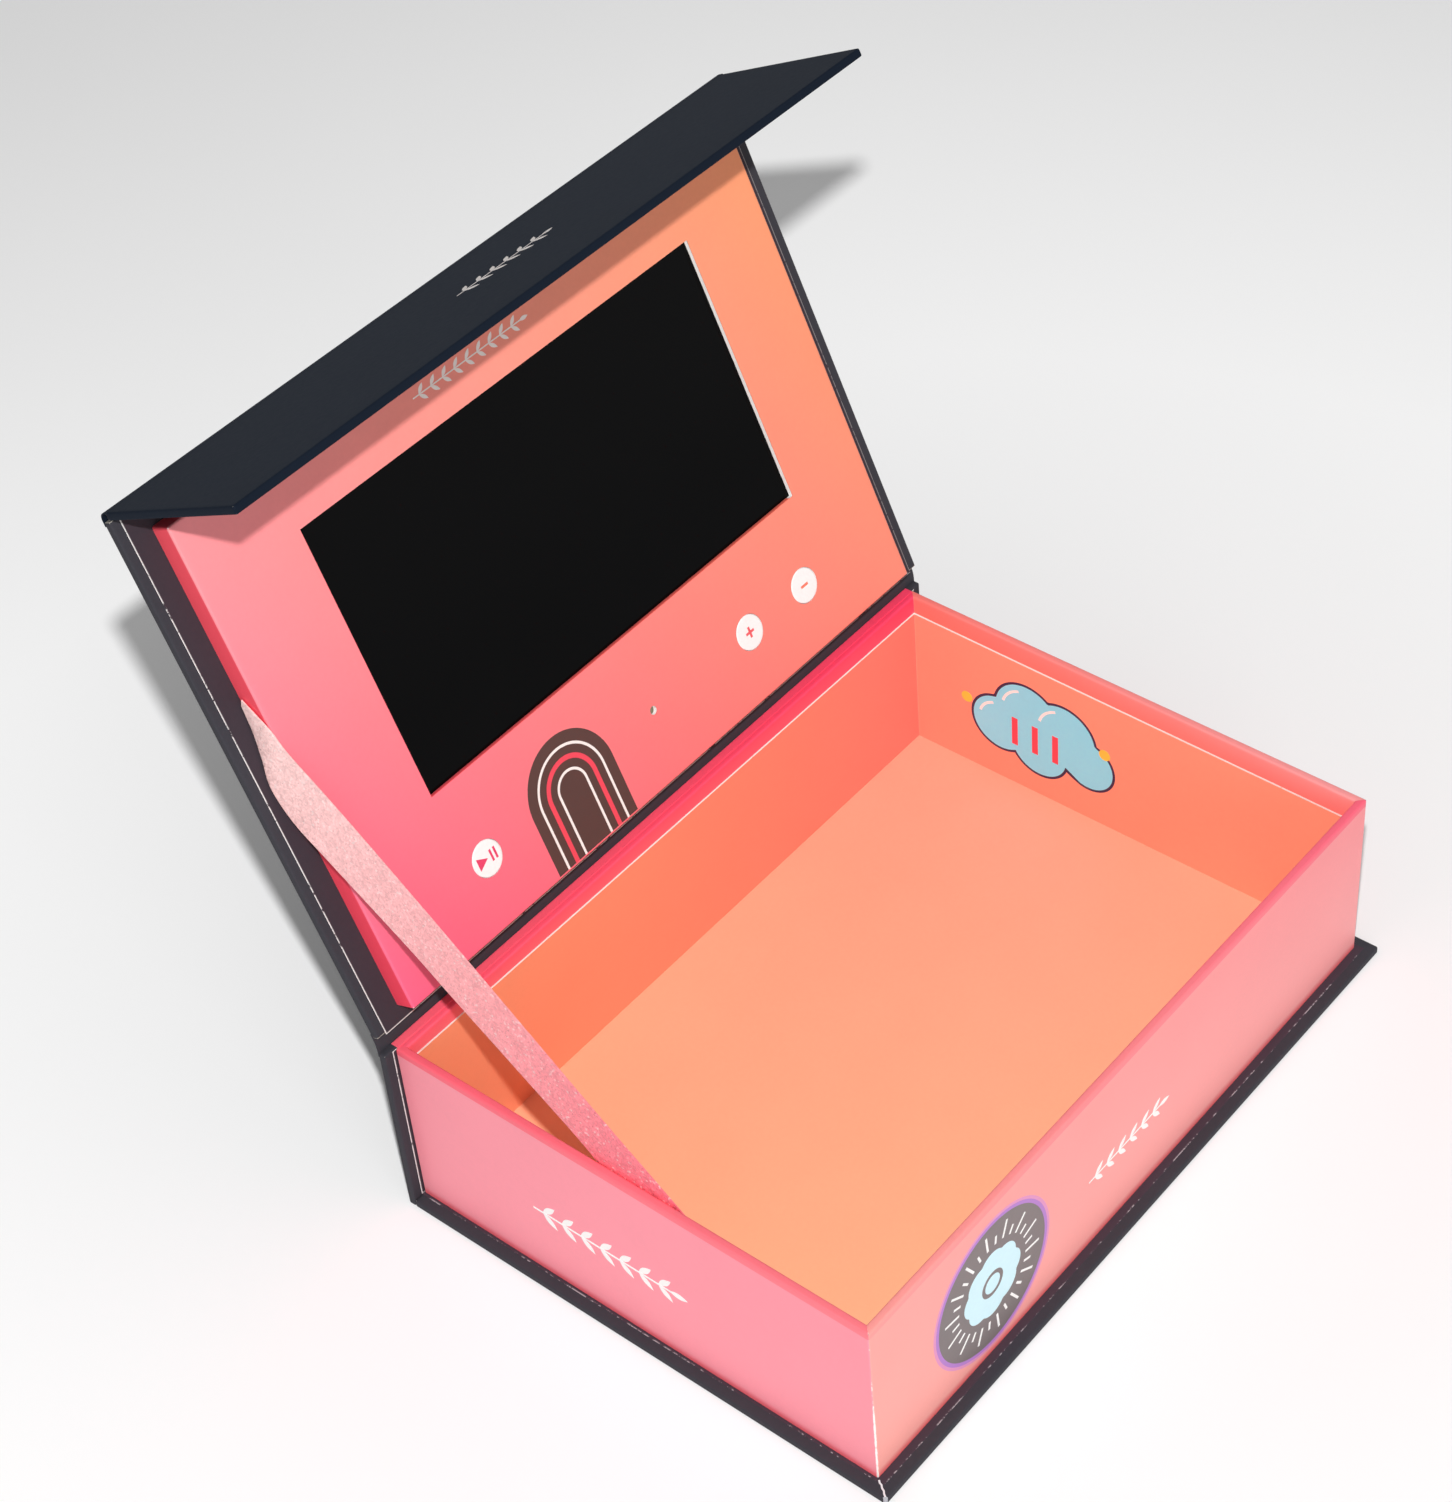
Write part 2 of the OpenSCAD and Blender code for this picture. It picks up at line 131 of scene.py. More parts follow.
def shaded(tree, colour, tone, low, high, darkest, brightest):
    """A colour made darker and brighter by a tone that goes from low to high."""
    value = ramp(tree, tone, low, high, darkest, brightest)
    return shader_node(tree, "HueSaturation", {"Color": colour, "Value": value}).outputs["Color"]


def effect(name, colours, numbers):
    """A node group with named inputs, colours and numbers: the group, and its inputs as read inside it."""
    group = bpy.data.node_groups.new(name, "ShaderNodeTree")
    for kind, labels in (("NodeSocketColor", colours), ("NodeSocketFloat", numbers)):
        for label in labels:
            group.interface.new_socket(label, in_out="INPUT", socket_type=kind)
    return group, group.nodes.new("NodeGroupInput").outputs


def give_out(group, **results):
    """Names a group's outputs and feeds them."""
    for label, value in results.items():
        kind = "NodeSocketColor" if value.type == "RGBA" else "NodeSocketFloat"
        group.interface.new_socket(label, in_out="OUTPUT", socket_type=kind)
    out = group.nodes.new("NodeGroupOutput")
    for label, value in results.items():
        group.links.new(value, out.inputs[label])


def new_finish(name, **constants):
    """A material, its nodes and its shader's inputs. The constants are inputs that don't vary over it."""
    made = bpy.data.materials.new(name)
    made.use_nodes = True
    inputs = made.node_tree.nodes["Principled BSDF"].inputs
    for label, value in constants.items():
        inputs[label.replace("_", " ")].default_value = value
    return made, made.node_tree, inputs


def cover(tree, inputs, group, depth, values):
    """Feeds the shader's colour, roughness and relief, which is that deep, from an effect."""
    given = shader_node(tree, "Group", values, node_tree=group).outputs
    relief = shader_node(tree, "Bump", {"Distance": depth, "Height": given["Height"]})
    tree.links.new(given["Color"], inputs["Base Color"])
    tree.links.new(given["Roughness"], inputs["Roughness"])
    tree.links.new(relief.outputs["Normal"], inputs["Normal"])


def finish(name, group, depth, values, **constants):
    """A material that is one effect all over."""
    made, tree, inputs = new_finish(name, **constants)
    cover(tree, inputs, group, depth, values)
    return made


def clothe(material, *nodes):
    """Gives CAD nodes their material."""
    for name in nodes:
        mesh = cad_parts[name].data
        mesh.materials.clear()
        mesh.materials.append(material)


# Fibres: winding flecks of one colour on a mottled ground, finer than a millimetre.
fibres, given = effect("Pressed fibres", ("Ground", "Fleck"), ("Amount", "Roughness"))
flecks = noise(fibres, 1400.0, 4.0, distortion=1.2)
mottle = noise(fibres, 160.0, 3.0)
mottled = shaded(fibres, given["Ground"], mottle, 0.0, 1.0, 0.9, 1.1)
give_out(
    fibres,
    Color=mix(fibres, ramp(fibres, flecks, 0.52, 0.68, 0.0, given["Amount"]), mottled, given["Fleck"]),
    Roughness=ramp(fibres, mottle, 0.0, 1.0, given["Roughness"], 1.0),
    Height=flecks,
)


def fibrous(name, ground, fleck, amount, roughness, depth, specular):
    """Board, card or foam: flecks of one colour in a ground of another."""
    values = {"Ground": ink(*ground), "Fleck": ink(*fleck), "Amount": amount, "Roughness": roughness}
    return finish(name, fibres, depth, values, Specular_IOR_Level=specular)


clothe(
    fibrous("greyboard", (168, 163, 155), (96, 92, 88), 0.6, 0.88, depth=0.1 * mm, specular=0.2),
    "base_board", "spine_board", "lid_board", "flap_board", "tray_floor",
    "tray_wall_left", "tray_wall_right", "tray_wall_front", "tray_wall_rear",
)


# Case: base and spine
# One sheet of dark navy paper with a matt film is wrapped round the case's four boards.
# Here are the parts of it round the base and the spine, with soft edges where it turns over the board.

case_half = 119 * mm
paper_edge = 0.54 * mm
base_front, spine_front, hinge_y = -85.5 * mm, 80 * mm, 82.5 * mm
rim_z = 62.5 * mm
paper_top, lining_low, case_t = 2.44 * mm, 2.38 * mm, 2.5 * mm
lip = 3 * mm
cut_depth = 0.3 * mm
worn_reach, worn_through = 1.2 * mm, 2.2
joining = 1e-7
sharp_angle = math.radians(38)


def surface(name, points, quads, body, slot, papers, replaced=(), edge=None, uv=None, walls=None,
            closed=True, map_name="print"):
    """One piece at the origin from points (n, 3) and four-cornered faces (m, 4), with its materials, the
    body that it rides on and the CAD nodes that it replaces. Its slot is not used.
    Points closer than the joining distance are joined, and a face that loses a corner becomes a triangle.
    The edge mark is a number for every point, uv a pair for every point, and walls a material's number for
    every face. A closed skin is turned face out by the sign of the volume that it encloses."""
    points, quads = np.asarray(points, float), np.asarray(quads)
    a, b, c, d = (points[quads[:, k]] for k in range(4))
    if closed and (a * (np.cross(b, c) + np.cross(c, d))).sum() < 0:
        quads = quads[:, ::-1]
    rounded = np.round(points / joining).astype(np.int64)
    _, first, same = np.unique(rounded, axis=0, return_index=True, return_inverse=True)
    corners = same.ravel()[quads]
    repeated = corners == np.roll(corners, -1, axis=1)
    whole, cut = repeated.sum(1) == 0, repeated.sum(1) == 1
    kept = np.sort(np.argsort(repeated[cut], axis=1, kind="stable")[:, :3], axis=1)
    triangles = np.take_along_axis(corners[cut], kept, axis=1)
    mesh = bpy.data.meshes.new(name)
    mesh.from_pydata(points[first].tolist(), [], corners[whole].tolist() + triangles.tolist())
    if edge is not None:
        mark = np.ravel(edge)[first].astype(np.float32)
        mesh.attributes.new("edge", "FLOAT", "POINT").data.foreach_set("value", mark)
    if uv is not None:
        at = np.reshape(uv, (-1, 2))[quads]
        at_cut = np.take_along_axis(at[cut], kept[:, :, None], axis=1)
        pairs = np.concatenate([at[whole].reshape(-1, 2), at_cut.reshape(-1, 2)])
        mesh.uv_layers.new(name=map_name).data.foreach_set("uv", pairs.astype(np.float32).ravel())
    if walls is not None:
        wall = np.concatenate([walls[whole], walls[cut]])
        mesh.polygons.foreach_set("material_index", wall.astype(np.int32))
    mesh.polygons.foreach_set("use_smooth", np.ones(len(mesh.polygons), bool))
    mesh.set_sharp_from_angle(angle=sharp_angle)
    if not closed:
        used, sharp = np.empty(len(mesh.loops), np.int32), np.empty(len(mesh.edges), bool)
        mesh.loops.foreach_get("edge_index", used)
        mesh.edges.foreach_get("use_edge_sharp", sharp)
        mesh.edges.foreach_set("use_edge_sharp", sharp | (np.bincount(used) == 1))
    mesh.validate()
    made = put_in(name, mesh)
    for paper in papers:
        mesh.materials.append(paper)
    if body:
        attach(made, body)
    if replaced:
        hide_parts(*replaced)
    return made


def columns(*parts):
    """Arrays side by side along a new last axis. A single number is repeated."""
    return np.stack(np.broadcast_arrays(*parts), -1)


def grid_faces(rows, across, start=0):
    """Faces of a grid of points, counted row by row, from point number start."""
    cell = (np.arange(rows - 1)[:, None] * across + np.arange(across - 1)).ravel() + start
    return columns(cell, cell + across, cell + across + 1, cell + 1)


def outline_of(x_lines, y_lines, steps):
    """Once round the outline of a grid, anticlockwise: points (n, 2) and the angle that faces outwards at
    each. At a corner the point stays and the angle turns through its quarter circle."""
    sides = [
        columns(x_lines, y_lines[0]), columns(x_lines[-1], y_lines),
        columns(x_lines[::-1], y_lines[-1]), columns(x_lines[0], y_lines[::-1]),
    ]
    turn = np.linspace(0, np.pi / 2, steps + 1)[1:-1]
    at = np.concatenate([np.concatenate([s, np.repeat(s[-1:], len(turn), 0)]) for s in sides])
    facing = np.array([-1, 0, 1, 2]) * np.pi / 2
    angle = np.concatenate([np.concatenate([np.full(len(s), f), f + turn]) for s, f in zip(sides, facing)])
    return at, angle


def block(x_span, y_span, z_span, radius, steps=4, brim=0.8 * mm):
    """Skin of a flat board whose edges are rounded: points, faces and a mark that is 1 along the roundings.
    Its flat faces end a radius inside its outline, with a narrow row of faces along them. From there a
    quarter circle is carried round the outline, radius * sin(t) further out at the angle t, down the side,
    and back in underneath."""
    x_lines, y_lines = (
        np.array([s[0] + radius, s[0] + radius + brim, s[1] - radius - brim, s[1] - radius])
        for s in (x_span, y_span)
    )
    low, high = z_span
    flat = np.stack(np.meshgrid(x_lines, y_lines, indexing="ij"), -1).reshape(-1, 2)
    faces = [np.insert(flat, 2, z, axis=1) for z in (high, low)]
    at, angle = outline_of(x_lines, y_lines, steps)
    t = np.concatenate([np.linspace(0, np.pi / 2, steps + 1), np.linspace(np.pi / 2, np.pi, steps + 1)])
    height = np.where(np.arange(len(t)) <= steps, high - radius, low + radius) + radius * np.cos(t)
    rim = around_outline(at, angle, radius * np.sin(t), height)
    count = len(x_lines) * len(y_lines)
    top = grid_faces(len(x_lines), len(y_lines))
    quads = [top, top[:, ::-1] + count, grid_faces(len(rim), len(t), 2 * count)[:, ::-1]]
    edge = np.concatenate([np.zeros(2 * count), np.tile(np.abs(np.sin(2 * t)), len(rim))])
    return np.concatenate([*faces, rim.reshape(-1, 3)]), np.concatenate(quads), edge


def around_outline(at, angle, out, height):
    """A profile carried once round an outline: each point of it lies that far out along the outline's
    angle, at its height."""
    angle = angle[:, None]
    rim = columns(at[:, :1] + np.cos(angle) * out, at[:, 1:] + np.sin(angle) * out, height)
    return np.concatenate([rim, rim[:1]])


def hinged(points, hinge, opened):
    """Places points x, a, h of a board that is opened by an angle from lying shut: a runs along the board
    from its hinge line, towards the front where it is shut, and h from its outer face to its inner one."""
    x, a, h = np.asarray(points).T
    turn = math.radians(opened)
    y = hinge[0] - a * math.cos(turn) - h * math.sin(turn)
    z = hinge[1] + a * math.sin(turn) - h * math.cos(turn)
    return columns(x, y, z)


def lying(points):
    """Leaves x, y, z as they are."""
    return points


def on_spine(points):
    """Places x, a, h on the upright spine."""
    return hinged(points, (hinge_y, 0), 90)


def edge_of(tree):
    """The piece's edge mark."""
    return shader_node(tree, "Attribute", attribute_name="edge").outputs["Fac"]


def uv_of(tree, name):
    """The two parts, X and Y, of the piece's UV map."""
    place = shader_node(tree, "UVMap", uv_map=name).outputs[0]
    return shader_node(tree, "SeparateXYZ", {0: place}).outputs


# Laminated paper: print under a matt film, rubbed down to white paper here and there along its edges.
laminated, given = effect("Laminated paper", ("Ink", "Core"), ("Edge", "Rub", "Grain", "Roughness"))
film = noise(laminated, 700.0, 3.0)
tone = calc(laminated, "ADD", film, noise(laminated, 45.0, 2.0))
darkest = calc(laminated, "SUBTRACT", 1.0, given["Grain"])
brightest = calc(laminated, "ADD", 1.0, given["Grain"])
printed = shaded(laminated, given["Ink"], tone, 0.6, 1.4, darkest, brightest)
bare = calc(laminated, "SUBTRACT", 1.0, given["Rub"])
worn = calc(laminated, "MULTIPLY", noise(laminated, 420.0, 5.0, roughness=0.65), given["Edge"])
worn_mask = ramp(laminated, worn, bare, calc(laminated, "ADD", bare, 0.12))
matt = calc(laminated, "ADD", given["Roughness"], 0.08)
give_out(
    laminated,
    Color=mix(laminated, worn_mask, printed, given["Core"]),
    Roughness=ramp(laminated, film, 0.0, 1.0, given["Roughness"], matt),
    Height=film,
)
film_depth = 0.03 * mm


def film_paper(name, colour, rub, core=(205, 205, 208), grain=0.06, roughness=0.5, specular=0.3):
    """Plain dyed paper under a matt film."""
    made, tree, inputs = new_finish(name, Specular_IOR_Level=specular)
    cover(tree, inputs, laminated, film_depth, {
        "Ink": ink(*colour), "Core": ink(*core), "Edge": edge_of(tree), "Rub": rub,
        "Grain": grain, "Roughness": roughness,
    })
    return made


def dashed_edge(material, dashes, core):
    """Lets the pale core of a lining show at its raw edge, in dashes. dashes is the share that shows."""
    tree = material.node_tree
    tufts = noise(tree, 560.0, 4.0, roughness=0.7)
    both = mix(tree, 0.35, tufts, noise(tree, 60.0, 1.0), kind="FLOAT")
    start = 0.68 - 0.36 * dashes
    mask = calc(tree, "MULTIPLY", ramp(tree, both, start, start + 0.05), edge_of(tree))
    base = tree.nodes["Principled BSDF"].inputs["Base Color"]
    tree.links.new(mix(tree, mask, base.links[0].from_socket, ink(*core)), base)


case_outer = film_paper("case_paper", (58, 57, 63), 0.3, core=(176, 178, 184), roughness=0.6, specular=0.1)
case_inner = film_paper("case_lining", (67, 55, 64), rub=0.0, roughness=0.6, specular=0.1)
lid_lining_paper = film_paper("lid_lining", (60, 51, 58), rub=0.0, roughness=0.6, specular=0.1)
dashed_edge(lid_lining_paper, 0.78, (232, 228, 226))
dashed_edge(case_inner, 0.45, (176, 168, 172))


def cut_mark(points, x_span, y_span):
    """1 at the cut edges of a sheet, falling to 0 at the cut's depth inside them."""
    x, y = points[:, 0], points[:, 1]
    inside = np.minimum(np.minimum(x - x_span[0], x_span[1] - x), np.minimum(y - y_span[0], y_span[1] - y))
    return np.clip(1 - inside / cut_depth, 0, 1)


def wrap(name, body, a_span, placed, replaced, paper, rubbed=False):
    """The case's paper round a board. Where it is rubbed, its front left corner is worn through."""
    points, quads, edge = block((-case_half, case_half), a_span, (0, paper_top), paper_edge)
    if rubbed:
        near = points[:, :2] < np.array([-case_half, a_span[0]]) + worn_reach
        edge = np.where(near.all(1) & (points[:, 2] > 0), worn_through, edge)
    surface(name, placed(points), quads, body, "case_wrap", [paper], [replaced], edge)


def lining(name, body, a_span, placed, replaced, paper, elsewhere=1.0):
    """A sheet of lining paper glued on a board, with its raw edge marked: in full at its left edge, and
    elsewhere with the share that is given."""
    x_span = (lip - case_half, case_half - lip)
    points, quads, _ = block(x_span, a_span, (lining_low, case_t), 0.06 * mm, steps=2, brim=0.36 * mm)
    share = np.where(points[:, 0] < x_span[0] + 0.6 * mm, 1, elsewhere)
    mark = np.ceil(cut_mark(points, x_span, a_span)) * share
    surface(name, placed(points), quads, body, "case_liner", [paper], replaced, mark)


wrap("base_paper", "base", (base_front, spine_front), lying, "base_wrap", case_outer, rubbed=True)
wrap("spine_paper", "base", (0, rim_z), on_spine, "spine_wrap", case_outer)
lining("base_lining", "base", (base_front + lip, spine_front), lying, ["base_liner"], case_inner)
lining("spine_lining", "base", (case_t, rim_z - 0.5 * mm), on_spine, [], lid_lining_paper)


# Tray
# A greyboard tray stands on the base. Its outer paper, printed in a pink that turns to coral,
# goes over the rim and down inside, where a lining paper with a white raw edge covers its end.

tray_half_x, tray_half_y = 115 * mm, 80 * mm
tray_low = 2.5 * mm
board = 2.5 * mm
rim_round = 0.66 * mm
turned_to = 53.5 * mm
under_rim = rim_z - 0.21 * mm


def carried(sections, round_and_round=False):
    """Points and faces of a closed section carried along a path: sections is (stations, points round, 3).
    The skin is closed round the section, and along the path too, or else by a cap at each end."""
    count, around = sections.shape[:2]
    index = np.arange(count * around).reshape(count, around)
    index = np.concatenate([index, index[:, :1]], 1)
    if round_and_round:
        index = np.concatenate([index, index[:1]])
    quads = columns(index[:-1, :-1], index[1:, :-1], index[1:, 1:], index[:-1, 1:]).reshape(-1, 4)
    if not round_and_round:
        half = np.arange(around // 2)
        pair = columns(half[:-1], half[1:], around - 1 - half[1:], around - 1 - half[:-1])
        quads = np.concatenate([quads, pair, pair[:, ::-1] + (count - 1) * around])
    return sections.reshape(-1, 3), quads


def wall_sections(profile, corner, least, steps):
    """Carries a profile of (inset, z) round the tray, anticlockwise from its front left corner: sections
    for carried(), the side of each station, for every point how far along that side it is, 0 to 1, and a
    mark that is 1 amid each corner. At each inset the corner is a quarter circle of radius corner - inset,
    and never less than least. Each side has half of each of its two corners."""
    turn = np.linspace(0, np.pi / 4, steps + 1)
    side = np.repeat(np.arange(4), 2 * (steps + 1))
    angle = (side - 1) * np.pi / 2 + np.tile(np.concatenate([turn - np.pi / 4, turn]), 4)
    corner_way = ((side - 1) * np.pi / 2 + np.tile(np.repeat([-1, 1], steps + 1), 4) * np.pi / 4)[:, None]
    inset, z = profile.T
    radius = np.maximum(corner - inset, least)
    x = np.sign(np.cos(corner_way)) * (tray_half_x - inset - radius) + np.cos(angle)[:, None] * radius
    y = np.sign(np.sin(corner_way)) * (tray_half_y - inset - radius) + np.sin(angle)[:, None] * radius
    across = np.where((side % 2 == 0)[:, None], x / tray_half_x, y / tray_half_y)
    across = across * np.where(side < 2, 1, -1)[:, None]
    return columns(x, y, z), side, (across + 1) / 2, np.abs(np.sin(2 * angle))


# Four corner ink: a print that blends between the colours of a sheet's four corners, with painted shade: a
# deeper red along its foot.
corner_names = ("Low Left", "Low Right", "High Left", "High Right")
four_inks, given = effect("Four corner ink", (*corner_names, "Foot Shade"), ("Foot Share", "Across", "Up"))
low_ink = mix(four_inks, given["Across"], given["Low Left"], given["Low Right"])
high_ink = mix(four_inks, given["Across"], given["High Left"], given["High Right"])
# Painted shade: the lowest twentieth of a sheet is mixed towards the deep red foot ink.
foot = calc(four_inks, "MULTIPLY", ramp(four_inks, given["Up"], 0.0, 0.05, 1.0, 0.0), given["Foot Share"])
give_out(four_inks, Ink=mix(four_inks, foot, mix(four_inks, given["Up"], low_ink, high_ink), given["Foot Shade"]))


def printed_papers(rub, foot=0.0, **inks):
    """Papers printed with a blend of four inks under a matt film, and darker along the foot by a share, as
    painted shade.
    The inks are those at a sheet's lower left, lower right, upper left and upper right corner."""
    made = []
    for name, corners in inks.items():
        paper, tree, inputs = new_finish(name, Specular_IOR_Level=0.3)
        at = uv_of(tree, "print")
        blend = shader_node(tree, "Group", {
            **{label: ink(*rgb) for label, rgb in zip(corner_names, corners)},
            "Foot Shade": ink(254, 70, 84), "Foot Share": foot, "Across": at["X"], "Up": at["Y"],
        }, node_tree=four_inks)
        cover(tree, inputs, laminated, film_depth, {
            "Ink": blend.outputs["Ink"], "Core": ink(252, 240, 236), "Edge": edge_of(tree), "Rub": rub,
            "Grain": 0.025, "Roughness": 0.42,
        })
        made.append(paper)
    return made


# The outer paper's profile: up the outside, over the rim, down inside, and back along the board.
t = np.linspace(0, np.pi / 2, 6)
over_rim = np.concatenate([
    columns(rim_round * (1 - np.cos(t)), rim_z - rim_round * (1 - np.sin(t))),
    columns(board - rim_round * (1 - np.sin(t)), rim_z - rim_round * (1 - np.cos(t))),
])
outside = columns(0.0, [2.5, 3.5, 13, 21, 28, 36, 48, 58.5, 60.3]) * mm
inside = [[board, rim_z - 2 * mm], [board, turned_to]]
back_out, back_in = 0.2 * mm, board - 0.2 * mm
back = [[back_in, turned_to], [back_in, under_rim], [back_out, under_rim], [back_out, tray_low]]
profile = np.concatenate([outside, over_rim, inside, back])
sections, side, across, corner_mark = wall_sections(profile, corner=0.66 * mm, least=0.25 * mm, steps=4)

# The corners are rubbed, the front left one most of all and more towards its foot, and the rim a little.
x, y, z = np.moveaxis(sections, -1, 0)
station = np.arange(len(profile))
outer = station < len(outside)
front_left = (x < 5 * mm - tray_half_x) & (y < 5 * mm - tray_half_y)
most = np.where(outer, 0.85 + 0.9 * np.clip((40 * mm - z) / (16 * mm), 0, 1), 1.1)
others = np.where(outer, np.clip((48 * mm - z) / (20 * mm), 0.15, 1), 0.45) * 0.62
rim_mark = np.zeros(len(profile))
rim_mark[len(outside):len(outside) + len(over_rim)] = np.tile(np.abs(np.sin(2 * t)), 2) * 0.5
edge = np.maximum(corner_mark[:, None] * np.where(front_left, most, others), rim_mark)

# The outside and the turned-in rim are printed apart: each has its own four inks and its own foot.
on_rim = len(outside) - 1
foot_z = np.where(station < on_rim, tray_low, turned_to)
up = np.clip((z - foot_z) / (rim_z - foot_z), 0, 1)
points, quads = carried(sections, round_and_round=True)
face_side = side[quads[:, 0] // len(profile)]
face_rim = (quads.min(1) % len(profile) >= on_rim).astype(int)
# The outer walls get painted shade along their foot, where they stand on the base.
outer_papers = printed_papers(
    rub=0.5, foot=0.8,
    print_front=((254, 171, 162), (254, 168, 168), (255, 165, 158), (254, 145, 150)),
    print_right=((248, 140, 140), (248, 136, 128), (250, 152, 156), (250, 135, 125)),
    print_rear=((248, 130, 130), (248, 130, 140), (250, 120, 125), (250, 140, 140)),
    print_left=((254, 153, 166), (254, 153, 166), (255, 150, 164), (255, 149, 164)),
)
rim_papers = printed_papers(
    rub=0.45,
    rim_front=((254, 140, 144), (254, 112, 126), (254, 158, 152), (254, 102, 126)),
    rim_right=((254, 130, 124), (254, 124, 112), (254, 158, 158), (254, 126, 118)),
    rim_rear=((254, 86, 116), (254, 130, 134), (254, 66, 104), (254, 94, 116)),
    rim_left=((254, 118, 140), (254, 134, 152), (252, 98, 116), (254, 124, 134)),
)
surface(
    "tray_paper", points, quads, "base", "tray_wrap", outer_papers + rim_papers, ["tray_wrap"], edge,
    columns(across, up), face_side + 4 * face_rim,
)

# The paper of the rear wall laps over the joint onto the spine's top edge.
points, quads, edge = block(
    (-114.4 * mm, 114.4 * mm), (79.3 * mm, 82.0 * mm), (rim_z - 0.06 * mm, rim_z + 0.12 * mm), 0.08 * mm,
    steps=2, brim=0.4 * mm,
)
uv = columns(0.5 - points[:, 0] / (2 * tray_half_x), 0.9)
rim_rear_paper = rim_papers[2]
surface("rim_lap", points, quads, "base", "tray_wrap", [rim_rear_paper], edge=edge * 0.5, uv=uv)

# The wall lining's raw edge isn't quite level: these are its heights in millimetres at the left and right
# end of the front and the rear wall, and how far it bows up between them at the rear.
front_left_z, front_right_z, rear_left_z, rear_right_z = 54.5, 54.6, 57.8, 56.3
rear_bow = 1.2
level_z, floor_top = 53.5 * mm, 5.4 * mm
lining_face = 2.62
profile = np.array([
    [2.3, 5.4], [lining_face, 5.4], [lining_face, 20], [lining_face, 52.9], [lining_face, 53.0],
    [2.6, 53.5], [2.3, 53.5],
]) * mm
sections, side, across, _ = wall_sections(profile, corner=2.9 * mm, least=0.2 * mm, steps=2)
reach_x = np.clip(sections[:, :, 0] / tray_half_x / 2 + 0.5, 0, 1)
reach_y = np.clip(sections[:, :, 1] / tray_half_y / 2 + 0.5, 0, 1)
front = front_left_z * (1 - reach_x) + front_right_z * reach_x
rear = rear_left_z * (1 - reach_x) + rear_right_z * reach_x + rear_bow * (1 - (2 * reach_x - 1) ** 2)
on_left_wall = sections[:, :, 0] < -112.15 * mm
top_edge = np.where(on_left_wall, front_left_z, front * (1 - reach_y) + rear * reach_y) * mm
sections[:, :, 2] += np.where(profile[:, 1] > 50 * mm, top_edge - level_z, 0)
points, quads = carried(sections, round_and_round=True)
edge = np.broadcast_to(profile[:, 1] >= 52.95 * mm, across.shape).astype(float)
up = np.clip((sections[:, :, 2] - floor_top) / (50 * mm), 0, 1)
surface(
    "wall_lining", points, quads, "base", "tray_liner", printed_papers(
        rub=0.75,
        lining_front=((254, 184, 140), (254, 170, 138), (254, 180, 138), (254, 168, 136)),
        lining_right=((254, 166, 134), (254, 146, 124), (254, 168, 138), (254, 150, 128)),
        lining_rear=((254, 130, 118), (254, 164, 123), (254, 129, 117), (254, 163, 121)),
        lining_left=((254, 174, 130), (254, 184, 140), (254, 176, 132), (254, 182, 140)),
    ),
    ["tray_wall_liner"], edge, columns(across, up), side[quads[:, 0] // len(profile)],
)

floor_half_x, floor_half_y = 112.5 * mm, 77.5 * mm
floor_spans = (-floor_half_x, floor_half_x), (-floor_half_y, floor_half_y)
points, quads, _ = block(*floor_spans, (5.2 * mm, floor_top), 0.08 * mm, steps=2, brim=0.5 * mm)
surface(
    "floor_lining", points, quads, "base", "tray_liner",
    printed_papers(
        rub=0.3, print_floor=((254, 197, 150), (254, 178, 146), (254, 181, 141), (254, 166, 141)),
    ),
    ["tray_floor_liner"], cut_mark(points, *floor_spans),
    points[:, :2] / [2 * floor_half_x, 2 * floor_half_y] + 0.5,
)


# Magnets
# Pairs of nickel-plated discs, let into the front wall and the flap, hold the shut box closed.
# They lie under the paper.

# Drawn metal: the long hairs of a drawn or turned surface, which lie along X.
drawn_metal, given = effect("Drawn metal", ("Metal",), ("Roughness",))
squeeze = (1.0, 30.0, 30.0)
stretched = shader_node(drawn_metal, "Mapping", {"Vector": place_on(drawn_metal), "Scale": squeeze})
hairs = noise(drawn_metal, 120.0, 4.0, at=stretched.outputs[0])
dull = calc(drawn_metal, "ADD", given["Roughness"], 0.15)
give_out(
    drawn_metal,
    Color=shaded(drawn_metal, given["Metal"], hairs, 0.0, 1.0, 0.9, 1.08),
    Roughness=ramp(drawn_metal, hairs, 0.0, 1.0, given["Roughness"], dull),
    Height=hairs,
)


def metal(name, colour, roughness, metallic=1.0, depth=0.01 * mm):
    """Bare or plated metal."""
    values = {"Metal": ink(*colour), "Roughness": roughness}
    return finish(name, drawn_metal, depth, values, Metallic=metallic)


clothe(metal("nickel", (205, 203, 198), 0.2), "tray_magnets", "flap_magnets")


# Lid
# The lid's board in the same dark paper, a lining sheet 3 mm short of its edges, and the crease
# of two plies of paper that joins it to the spine.

lid_hinge = (hinge_y, 65.3 * mm)
lid_opened = 112.8
lid_len = 166.5 * mm
crease_gap = 2.8 * mm
lining_reach = 0.6 * mm
crease_overlap = 1.2 * mm
crease_plies = 0.42 * mm
crease_inset = 0.03 * mm


def on_lid(points):
    """Places x, a, h on the open lid."""
    return hinged(points, lid_hinge, lid_opened)


def away(opened):
    """The direction, as y and z, in which a board runs from its hinge when it is opened by an angle."""
    return np.array([-math.cos(math.radians(opened)), math.sin(math.radians(opened))])


def sideways(path):
    """The direction to the left of a path (n, 2) at each of its points, one unit long."""
    run = np.gradient(path, axis=0)
    run /= np.linalg.norm(run, axis=1)[:, None]
    return columns(-run[:, 1], run[:, 0])


